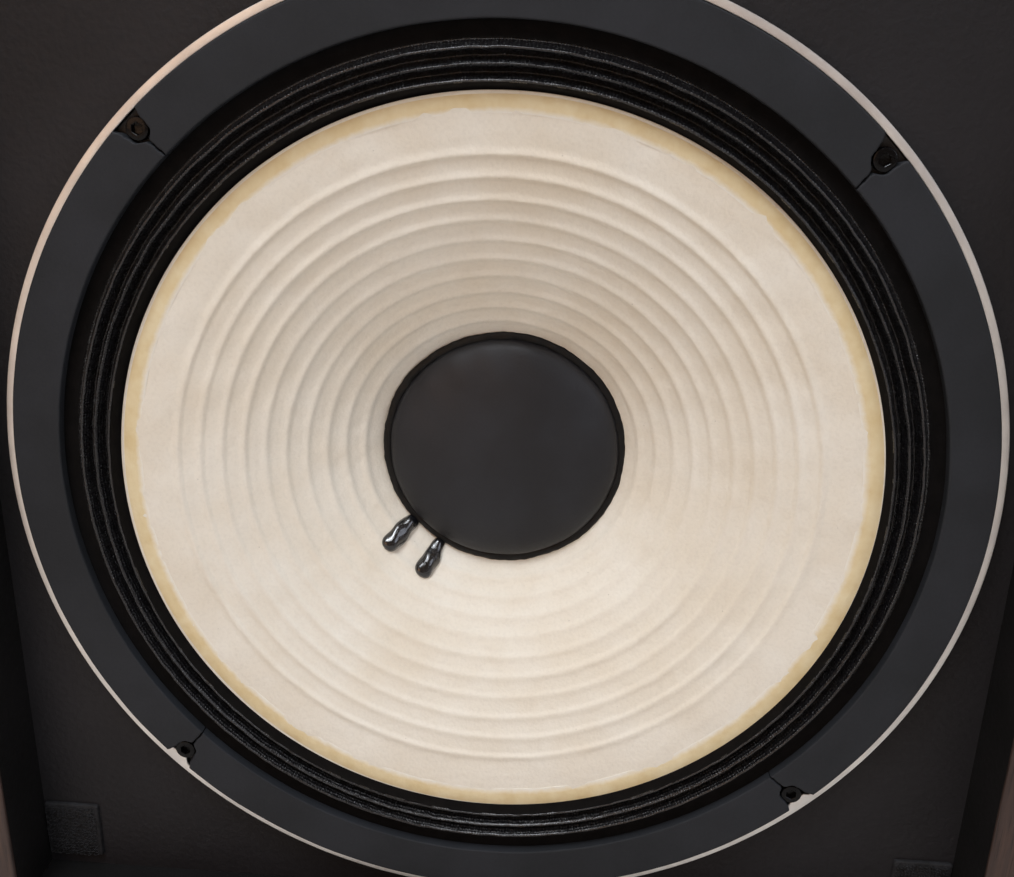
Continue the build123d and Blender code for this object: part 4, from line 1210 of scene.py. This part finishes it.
class SPEAKER_OT_midrange(bpy.types.Operator):
    """Midrange driver: foam ring, half-roll surround, black ribbed cone and small dust cap"""

    bl_idname = "speaker.midrange"
    bl_label = "Midrange"
    bl_options = {"REGISTER", "UNDO"}

    def execute(self, context):
        segments = 240
        angle = turns(segments)[None, :]
        foam = rounded([(51, -0.8), (59, -0.8), (59, 1.05), (51, 1.05)], 0.5)
        # Dense foam rubber, as round the woofer.
        rubber = mottled("dense_foam_rubber_ring", "2E2E30", "262628", 20, 0.8, 0.05, (0.6, 0.8))
        make(
            "midrange_foam_ring", [lathe(MIDRANGE, foam[:, 0], foam[:, 1], segments)], rubber,
            CABINET, replaces=("midrange_gasket",),
        )
        cloth = doped_cloth("doped_half_roll_cotton", "101012", 1.0, 0.12, (0.3, 0.5), 0.2)
        roll_surround(
            "midrange_half_roll", "midrange_surround", MIDRANGE, (57.8, 38.2),
            48.4, 41.4, 2.9, (1.15, 2.4), 0.35, cloth,
        )
        edge = 41
        face_r = np.linspace(edge, 13.3, 70)[:, None]
        fall = 1.6 + 21.0 * ((edge - face_r) / 27.8) ** 1.5
        raised = sum(0.4 * np.exp(-(((face_r - rib) / 0.7) ** 2)) for rib in (33.5, 29.0, 24.5))
        radius = out_and_back(face_r, face_r) + 0 * angle
        depth = out_and_back(fall - raised, fall + 0.7) + 0 * angle
        # Black-dyed pulp: dry and fibrous, with hardly any sheen.
        pulp = mottled("black_dyed_pulp", "29292B", "1D1D1F", 10, 0.9, 0.10, (0.6, 0.85))
        make(
            "midrange_cone_paper", [lathe(MIDRANGE, radius, depth, segments)], pulp,
            MIDRANGE_BODY, replaces=("midrange_cone",),
        )
        cap_edge, rim_depth, crown = 16.4, 17.7, 5.4
        cap_r = np.linspace(0, cap_edge, 26)
        cap_d = rim_depth - crown * np.sqrt(np.clip(1 - (cap_r / cap_edge) ** 2.1, 0, 1))
        radius = np.concatenate([cap_r, cap_r[::-1]])
        depth = np.concatenate([cap_d, cap_d[::-1] + 0.5])
        cloth = mottled("doped_small_cap_cloth", "2A2A2D", "212124", 9, 0.8, 0.04, (0.35, 0.5))
        make(
            "midrange_cap_dome", [lathe(MIDRANGE, radius, depth, 160)], cloth, MIDRANGE_BODY,
            replaces=("midrange_dust_cap",),
        )
        return {"FINISHED"}


class SPEAKER_OT_tweeter(bpy.types.Operator):
    """Dome tweeter: moulded plate with a short horn, small half-roll and a silk dome"""

    bl_idname = "speaker.tweeter"
    bl_label = "Tweeter"
    bl_options = {"REGISTER", "UNDO"}

    def execute(self, context):
        horn = np.linspace(0, 1, 16)
        horn_r = 18.2 + 11.8 * horn
        horn_d = 2.75 * (1 - np.sin(horn * math.pi / 2) ** 0.8)
        groove_r = [43.4, 43.6, 43.9, 44.2, 44.4]
        groove_d = [0, 0.25, 0.35, 0.25, 0]
        rim_r, rim_d = np.array([(46.5, 0), (46.85, 0.15), (47, 0.5), (47, 4), (18.2, 4)]).T
        radius = np.concatenate([horn_r, groove_r, rim_r, horn_r[:1]])
        depth = np.concatenate([horn_d, groove_d, rim_d, horn_d[:1]])
        # Moulded ABS with a spark-eroded texture: black, satin, finely pitted.
        plastic = mottled("textured_black_abs", "242426", "1A1A1C", 20, 0.6, 0.04, (0.4, 0.55))
        make(
            "tweeter_horn_plate", [lathe(TWEETER, radius, depth, 240)], plastic, CABINET,
            replaces=("tweeter_plate",), sharp=30,
        )
        silk = doped_cloth("doped_silk", "151518", 0.8, 0.05, (0.25, 0.4), 0.3)
        roll_surround(
            "tweeter_half_roll", "tweeter_surround", TWEETER, (17.7, 12.9),
            16.6, 13.3, 1.1, (3.45, 3.35), 0.22, silk,
        )
        # A cap of a ball, whose radius follows from the dome's width and rise, in a flat lip.
        edge, rise, proud = 12.5, 5.2, 2.2
        ball = (edge ** 2 + rise ** 2) / (2 * rise)
        dome_r = np.linspace(0, 12.9, 30)
        domed = ball - proud - np.sqrt(np.clip(ball ** 2 - dome_r ** 2, 0, None))
        dome_d = np.where(dome_r <= edge, domed, rise - proud)
        radius = np.concatenate([dome_r, dome_r[::-1]])
        depth = np.concatenate([dome_d, dome_d[::-1] + 0.25])
        make(
            "tweeter_silk_dome", [lathe(TWEETER, radius, depth, 120)], silk, TWEETER_BODY,
            uvs=[lathe_uv(radius, depth, 120)], replaces=("tweeter_dome",),
        )
        return {"FINISHED"}


class SPEAKER_OT_port(bpy.types.Operator):
    """Port tube with a rounded mouth: a quarter ellipse leads from its flange into its bore"""

    bl_idname = "speaker.port"
    bl_label = "Port"
    bl_options = {"REGISTER", "UNDO"}

    def execute(self, context):
        low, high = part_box("port_tube")
        length = (high.y - low.y) / MM
        mouth = np.linspace(0, math.pi / 2, 18)
        mouth_r = 38.0 - 6.0 * np.sin(mouth)
        mouth_d = 7.0 * (1 - np.cos(mouth))
        bore = [(32, 8), (32, length), (35, length), (35, 3), (42, 3), (42, 0.5), (41.5, 0.0)]
        bore_r, bore_d = np.array(bore).T
        radius = np.concatenate([mouth_r, bore_r, mouth_r[:1]])
        depth = np.concatenate([mouth_d, bore_d, mouth_d[:1]])
        # Injection-moulded ABS: black and faintly glossy, with slight waves in the sheen.
        plastic = mottled("moulded_black_abs", "232325", "1B1B1D", 30, 0.7, 0.03, (0.3, 0.42))
        make(
            "port_flared_tube", [lathe(PORT, radius, depth, 180)], plastic, CABINET,
            replaces=("port_tube",), sharp=30,
        )
        return {"FINISHED"}


# ---------------------------------------------------------------- level controls and screws

class SPEAKER_OT_level_scales(bpy.types.Operator):
    """Printed scales round the knobs: eleven ticks over 300 degrees, the ends and middle longer"""

    bl_idname = "speaker.level_scales"
    bl_label = "Level scales"
    bl_options = {"REGISTER", "UNDO"}

    def execute(self, context):
        # Screen-printed ink: dull white, hardly raised above the plate.
        ink = mottled("white_screen_ink", "D8D6D0", "C9C6BF", 3, 0.4, 0.01, (0.5, 0.65))
        plate_y = CONTROL[1] / MM
        grids = []
        for node in ("midrange_level_knob", "tweeter_level_knob"):
            centre = face_centre(node) / MM
            for tick in range(11):
                turn = math.radians(240 - 30 * tick)
                along = facing(turn)
                across = np.array([-math.sin(turn), 0, math.cos(turn)])
                near, far, half = 12.8, 16.4 if tick in (0, 5, 10) else 15.2, 0.3
                outline = ((near, -half), (far, -half), (far, half), (near, half), (near, -half))
                loops = []
                for y in (plate_y - 0.05, plate_y + 0.02):
                    corners = [
                        centre * (1, 0, 1) + along * r + across * w + np.array([0, y, 0])
                        for r, w in outline
                    ]
                    loops.append(np.array(corners))
                grids.append(prism(*loops) * MM)
        make("level_scale_ticks", grids, ink, CABINET)
        return {"FINISHED"}


class SPEAKER_OT_level_knobs(bpy.types.Operator):
    """Fluted knobs, each with a white line that points along its radius"""

    bl_idname = "speaker.level_knobs"
    bl_label = "Level knobs"
    bl_options = {"REGISTER", "UNDO"}

    def execute(self, context):
        sizes = context.scene.speaker_sizes
        # Moulded phenolic, tumbled to a satin black.
        phenolic = mottled("tumbled_phenolic", "222224", "171719", 8, 0.5, 0.03, (0.28, 0.42))
        ink = mottled("white_pointer_ink", "E2E0DA", "D2CFC8", 3, 0.4, 0.01, (0.45, 0.6))
        segments = 240
        angle = turns(segments)[None, :]
        flutes = in_mm(sizes.flute_depth) * (0.5 + 0.5 * np.cos(24 * angle)) ** 3
        for driver, body in (("midrange", "midrange_knob_body"), ("tweeter", "tweeter_knob_body")):
            node = f"{driver}_level_knob"
            centre = face_centre(node)
            low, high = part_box(node)
            size, length = (high.x - low.x) / 2 / MM, (high.y - low.y) / MM
            rows = [
                (0, 0.35), (size - 2.6, 0.35), (size - 2.1, 0.0), (size - 1.3, 0.0),
                (size - 0.7 - 0.6 * flutes, 0.3), (size - 0.25 - flutes, 1.0),
                (size - flutes, length - 2.2), (size - flutes, length - 1.6), (size, length - 1.5),
                (size, length - 0.2), (size - 0.2, length), (3.2, length), (3.2, length - 9.2),
                (0, length - 9.2),
            ]
            radius, depth = profile(rows, angle)
            make(
                f"{driver}_fluted_knob", [lathe(centre, radius, depth, segments)], phenolic, body,
                replaces=(node,), sharp=28,
            )
            half, near, far = 0.45, 2.2, size - 2.7
            x, z = rounded([(-half, near), (half, near), (half, far), (-half, far)], 0.2).T
            loops = [np.stack([x, level + 0 * x, z], axis=-1) for level in (0.28, 0.5)]
            make(
                f"{driver}_knob_pointer", [centre + prism(*loops) * MM], ink, body,
            )
        return {"FINISHED"}


class SPEAKER_OT_wood_screws(bpy.types.Operator):
    """Cross-head wood screws: a domed head (part of an ellipse) with a cross sunk in it"""

    bl_idname = "speaker.wood_screws"
    bl_label = "Wood screws"
    bl_options = {"REGISTER", "UNDO"}

    def execute(self, context):
        head_r, head_t, shank_r, shank = 3.35, 1.8, 1.7, 14.0
        segments = 72
        angle = turns(segments)[None, :]
        face_r = np.linspace(0, head_r, 26)[:, None]
        dome = -head_t * np.sqrt(np.clip(1 - 0.93 * (face_r / head_r) ** 2, 0, 1)) + 0 * angle
        x, z = face_r * np.cos(angle), face_r * np.sin(angle)

        def arm(a, b):
            return smooth_step((0.62 - np.abs(a)) / 0.3) * smooth_step((2.2 - np.abs(b)) / 0.5)

        dome = dome + 1.15 * np.maximum(arm(x, z), arm(z, x))
        rest_r = np.array([[head_r], [shank_r], [shank_r], [0.0]]) + 0 * angle
        rest_d = np.array([[0.0], [0.0], [shank - 3.5], [shank]]) + 0 * angle
        radius = np.concatenate([face_r + 0 * angle, rest_r])
        depth = np.concatenate([dome, rest_d])
        tilts = np.random.default_rng(61).uniform(0, TURN, 16)
        places = []
        for centre, reach in ((MIDRANGE, 64.0), (TWEETER, 41.5)):
            for k in range(4):
                places.append((centre + reach * MM * facing(math.radians(45 + 90 * k)), 1))
        cup_low, cup_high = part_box("terminal_cup")
        cup = np.array([0, cup_high.y, (cup_low.z + cup_high.z) / 2])
        for across, up in ((-1, -1), (-1, 1), (1, -1), (1, 1)):
            places.append((CONTROL + np.array([59 * across, 0, 16 * up]) * MM, 1))
            places.append((cup + np.array([37 * across, 0, 27 * up]) * MM, -1))
        grids = []
        for (place, way), tilt in zip(places, tilts):
            x, y, z = np.moveaxis(lathe((0, 0, 0), radius, depth * way, segments), -1, 0)
            c, s = math.cos(tilt), math.sin(tilt)
            grids.append(place + np.stack([x * c - z * s, y, x * s + z * c], axis=-1))
        # Black-zinc steel: dark and slightly bronze, bright where a driver has rubbed it.
        steel = mottled(
            "black_zinc_steel", "3A3836", "242322", 3, 0.5, 0.02, (0.2, 0.35), Metallic=0.9,
        )
        make(
            "cross_head_screws", grids, steel, CABINET, sharp=40,
            replaces=("wood_screws",),
        )
        return {"FINISHED"}


# ---------------------------------------------------------------- other finishes and the stage

class SPEAKER_OT_cad_finishes(bpy.types.Operator):
    """Materials for the pieces whose CAD shape is kept"""

    bl_idname = "speaker.cad_finishes"
    bl_label = "CAD finishes"
    bl_options = {"REGISTER", "UNDO"}

    def execute(self, context):
        finishes = (
            (board_paint(), ("front_baffle",)),
            # Chipboard under black vinyl foil: an even, leathery emboss.
            (mottled("black_vinyl_foil", "272524", "1E1C1B", 16, 1.3, 0.10, (0.45, 0.6)),
             ("back_panel",)),
            # Raw chipboard: tan, with light and dark chips a few millimetres long.
            (mottled("raw_chipboard", "B9966C", "86653F", 3.0, 1.1, 0.2, (0.7, 0.9)),
             ("battens", "crossover_board")),
            (brushed_black(), ("control_plate",)),
            # Pressed steel in stoved enamel: smooth satin black with a slight orange peel.
            (mottled("stoved_black_enamel", "242427", "1B1B1D", 12, 2.5, 0.05, (0.28, 0.42)),
             ("midrange_frame", "midrange_back_can")),
            # Steel plated with yellow zinc: straw-coloured, with a faint rainbow mottling.
            (mottled("yellow_zinc_plate", "CDBE8C", "A39670", 8, 0.8, 0.01, (0.25, 0.4),
                     Metallic=1.0),
             ("woofer_tee_nuts", "woofer_top_plate", "woofer_yoke", "midrange_pole_pieces",
              "tweeter_pole_pieces", "level_pots")),
            # Bright nickel plate.
            (mottled("bright_nickel_plate", "D5D2CC", "BDBAB4", 6, 0.6, 0.01, (0.12, 0.25),
                     Metallic=1.0),
             ("midrange_level_shaft", "tweeter_level_shaft")),
            # Sintered ferrite, ground flat: dark slate grey, dry, with grinding chips.
            (mottled("ground_ferrite", "3B3B3F", "2B2B2E", 9, 0.6, 0.05, (0.5, 0.7)),
             ("woofer_magnet", "midrange_magnet", "tweeter_magnet")),
            # Moulded ABS, black and red.
            (mottled("satin_black_abs", "262628", "1D1D1F", 18, 0.6, 0.03, (0.36, 0.5)),
             ("terminal_cup", "terminal_button_black")),
            (mottled("red_abs", "B01C1F", "981518", 9, 0.6, 0.02, (0.3, 0.42)),
             ("terminal_button_red",)),
            (wound_copper("lacquered_copper_winding"),
             ("woofer_winding", "midrange_voice_coil", "tweeter_voice_coil", "inductors")),
            # Rolled aluminium foil.
            (mottled("rolled_aluminium_foil", "D6D6D8", "BCBCBF", 9, 0.6, 0.02, (0.3, 0.45),
                     Metallic=1.0),
             ("woofer_coil_former",)),
            # Polyester film shrunk over the winding: amber, glossy, slightly uneven.
            (mottled("amber_polyester_film", "C9923A", "A8741F", 12, 0.8, 0.03, (0.16, 0.3)),
             ("capacitors",)),
            # Extruded PVC insulation.
            (mottled("black_pvc_insulation", "2F2F31", "222224", 8, 0.8, 0.03, (0.36, 0.5)),
             ("internal_wiring",)),
            # Phenolic paper strip with tinned tags.
            (mottled("brown_phenolic_paper", "7A5230", "61401F", 5, 0.7, 0.04, (0.4, 0.6)),
             ("woofer_terminals",)),
            # Polyurethane foam strip, open-celled.
            (mottled("black_foam_strip", "2A2A2C", "19191B", 4, 0.9, 0.2, (0.8, 1.0)),
             ("woofer_seal",)),
        )
        for material, names in finishes:
            for name in names:
                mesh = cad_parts[name].data
                mesh.materials.clear()
                mesh.materials.append(material)
        return {"FINISHED"}


class SPEAKER_OT_stage(bpy.types.Operator):
    """Pale floor, soft studio light and the camera"""

    bl_idname = "speaker.stage"
    bl_label = "Stage"
    bl_options = {"REGISTER", "UNDO"}

    def execute(self, context):
        floor_grid = np.array([[[-3, -3, 0], [-3, 3, 0]], [[3, -3, 0], [3, 3, 0]]], float)
        # Seamless studio paper: pale, matt, all but even.
        paper = mottled("pale_studio_paper", "DCDAD6", "D6D4D0", 300, 6, 0.0, (0.7, 0.8))
        make("studio_floor", [floor_grid], paper)
        world = bpy.data.worlds.new("studio_air")
        bpy.context.scene.world = world
        world.use_nodes = True
        background = world.node_tree.nodes["Background"]
        background.inputs["Color"].default_value = lin("FFE2CC")
        background.inputs["Strength"].default_value = 0.2
        for light in (
            ("ceiling", (-0.25, -0.95, 1.75), (0, -0.12, 0.18), 0.9, 18.5, "F4F9FF"),
            ("ceiling_lamp", (-0.35, -0.85, 1.7), (0, -0.12, 0.18), 0.22, 4.0, "F0F6FF"),
            ("front_fill", (-0.9, -1.9, 0.7), (0, -0.1, 0.25), 1.2, 6.0, "FFCBA0"),
            ("right_fill", (1.4, -1.1, 0.9), (0, -0.1, 0.25), 0.8, 5, "E6EEFF"),
            ("behind", (-0.6, 1.6, 1.4), (0, 0, 0.3), 1.2, 18, "FFFFFF"),
        ):
            add_light(*light)
        add_camera()
        bpy.context.scene.view_settings.view_transform = "Standard"
        return {"FINISHED"}


def add_light(name, place, target, size, power, tint):
    """Square area light, in watts, that faces a point."""
    light = bpy.data.lights.new(name, "AREA")
    light.shape = "SQUARE"
    light.size = size
    light.energy = power
    light.color = lin(tint)[:3]
    made = bpy.data.objects.new(name, light)
    aim = Vector(target) - Vector(place)
    turned = aim.to_track_quat("-Z", "Y").to_matrix().to_4x4()
    made.matrix_world = Matrix.Translation(place) @ turned
    bpy.context.scene.collection.objects.link(made)


def add_camera():
    """Camera close in front of the woofer, a little above it and looking down at it."""
    yaw, pitch, roll = math.radians(-3.64), math.radians(-19.82), math.radians(1.46)
    reach = math.cos(pitch)
    forward = Vector((math.sin(yaw) * reach, math.cos(yaw) * reach, math.sin(pitch)))
    level = Vector((math.cos(yaw), -math.sin(yaw), 0))
    upright = level.cross(forward)
    right = level * math.cos(roll) + upright * math.sin(roll)
    above = upright * math.cos(roll) - level * math.sin(roll)
    lens = bpy.data.cameras.new("camera")
    lens.sensor_width = 36.0
    lens.lens = 38.68
    lens.clip_start = 0.01
    made = bpy.data.objects.new("camera", lens)
    place = Vector(WOOFER) + Vector((23.62, -309.11, 128.66)) * MM
    turned = Matrix((right, above, -forward)).transposed().to_4x4()
    made.matrix_world = Matrix.Translation(place) @ turned
    bpy.context.scene.collection.objects.link(made)
    bpy.context.scene.camera = made


OPERATORS = (
    SPEAKER_OT_stage,
    SPEAKER_OT_cad_finishes,
    SPEAKER_OT_cabinet_panels,
    SPEAKER_OT_grille_pads,
    SPEAKER_OT_damping_pads,
    SPEAKER_OT_woofer_frame,
    SPEAKER_OT_woofer_gasket,
    SPEAKER_OT_woofer_bolts,
    SPEAKER_OT_woofer_surround,
    SPEAKER_OT_woofer_cone,
    SPEAKER_OT_edge_glue,
    SPEAKER_OT_dust_cap,
    SPEAKER_OT_lead_cement,
    SPEAKER_OT_spiders,
    SPEAKER_OT_tinsel_leads,
    SPEAKER_OT_terminal_springs,
    SPEAKER_OT_midrange,
    SPEAKER_OT_tweeter,
    SPEAKER_OT_port,
    SPEAKER_OT_level_scales,
    SPEAKER_OT_level_knobs,
    SPEAKER_OT_wood_screws,
)


class SPEAKER_PT_panel(bpy.types.Panel):
    """Lists the settings and the pieces"""

    bl_idname = "SPEAKER_PT_panel"
    bl_label = "Bookshelf speaker"
    bl_space_type = "VIEW_3D"
    bl_region_type = "UI"
    bl_category = "Speaker"

    def draw(self, context):
        for group in (context.scene.speaker_sizes, context.scene.speaker_colours):
            for key in group.__annotations__:
                self.layout.prop(group, key)
        for operator in OPERATORS:
            self.layout.operator(operator.bl_idname)


CLASSES = (SpeakerSizes, SpeakerColours, *OPERATORS, SPEAKER_PT_panel)


def register():
    for cls in CLASSES:
        bpy.utils.register_class(cls)
    bpy.types.Scene.speaker_sizes = bpy.props.PointerProperty(type=SpeakerSizes)
    bpy.types.Scene.speaker_colours = bpy.props.PointerProperty(type=SpeakerColours)


def unregister():
    del bpy.types.Scene.speaker_colours
    del bpy.types.Scene.speaker_sizes
    for cls in reversed(CLASSES):
        bpy.utils.unregister_class(cls)


def main():
    register()
    for operator in OPERATORS:
        group, name = operator.bl_idname.split(".")
        getattr(getattr(bpy.ops, group), name)()


if __name__ == "__main__":
    main()
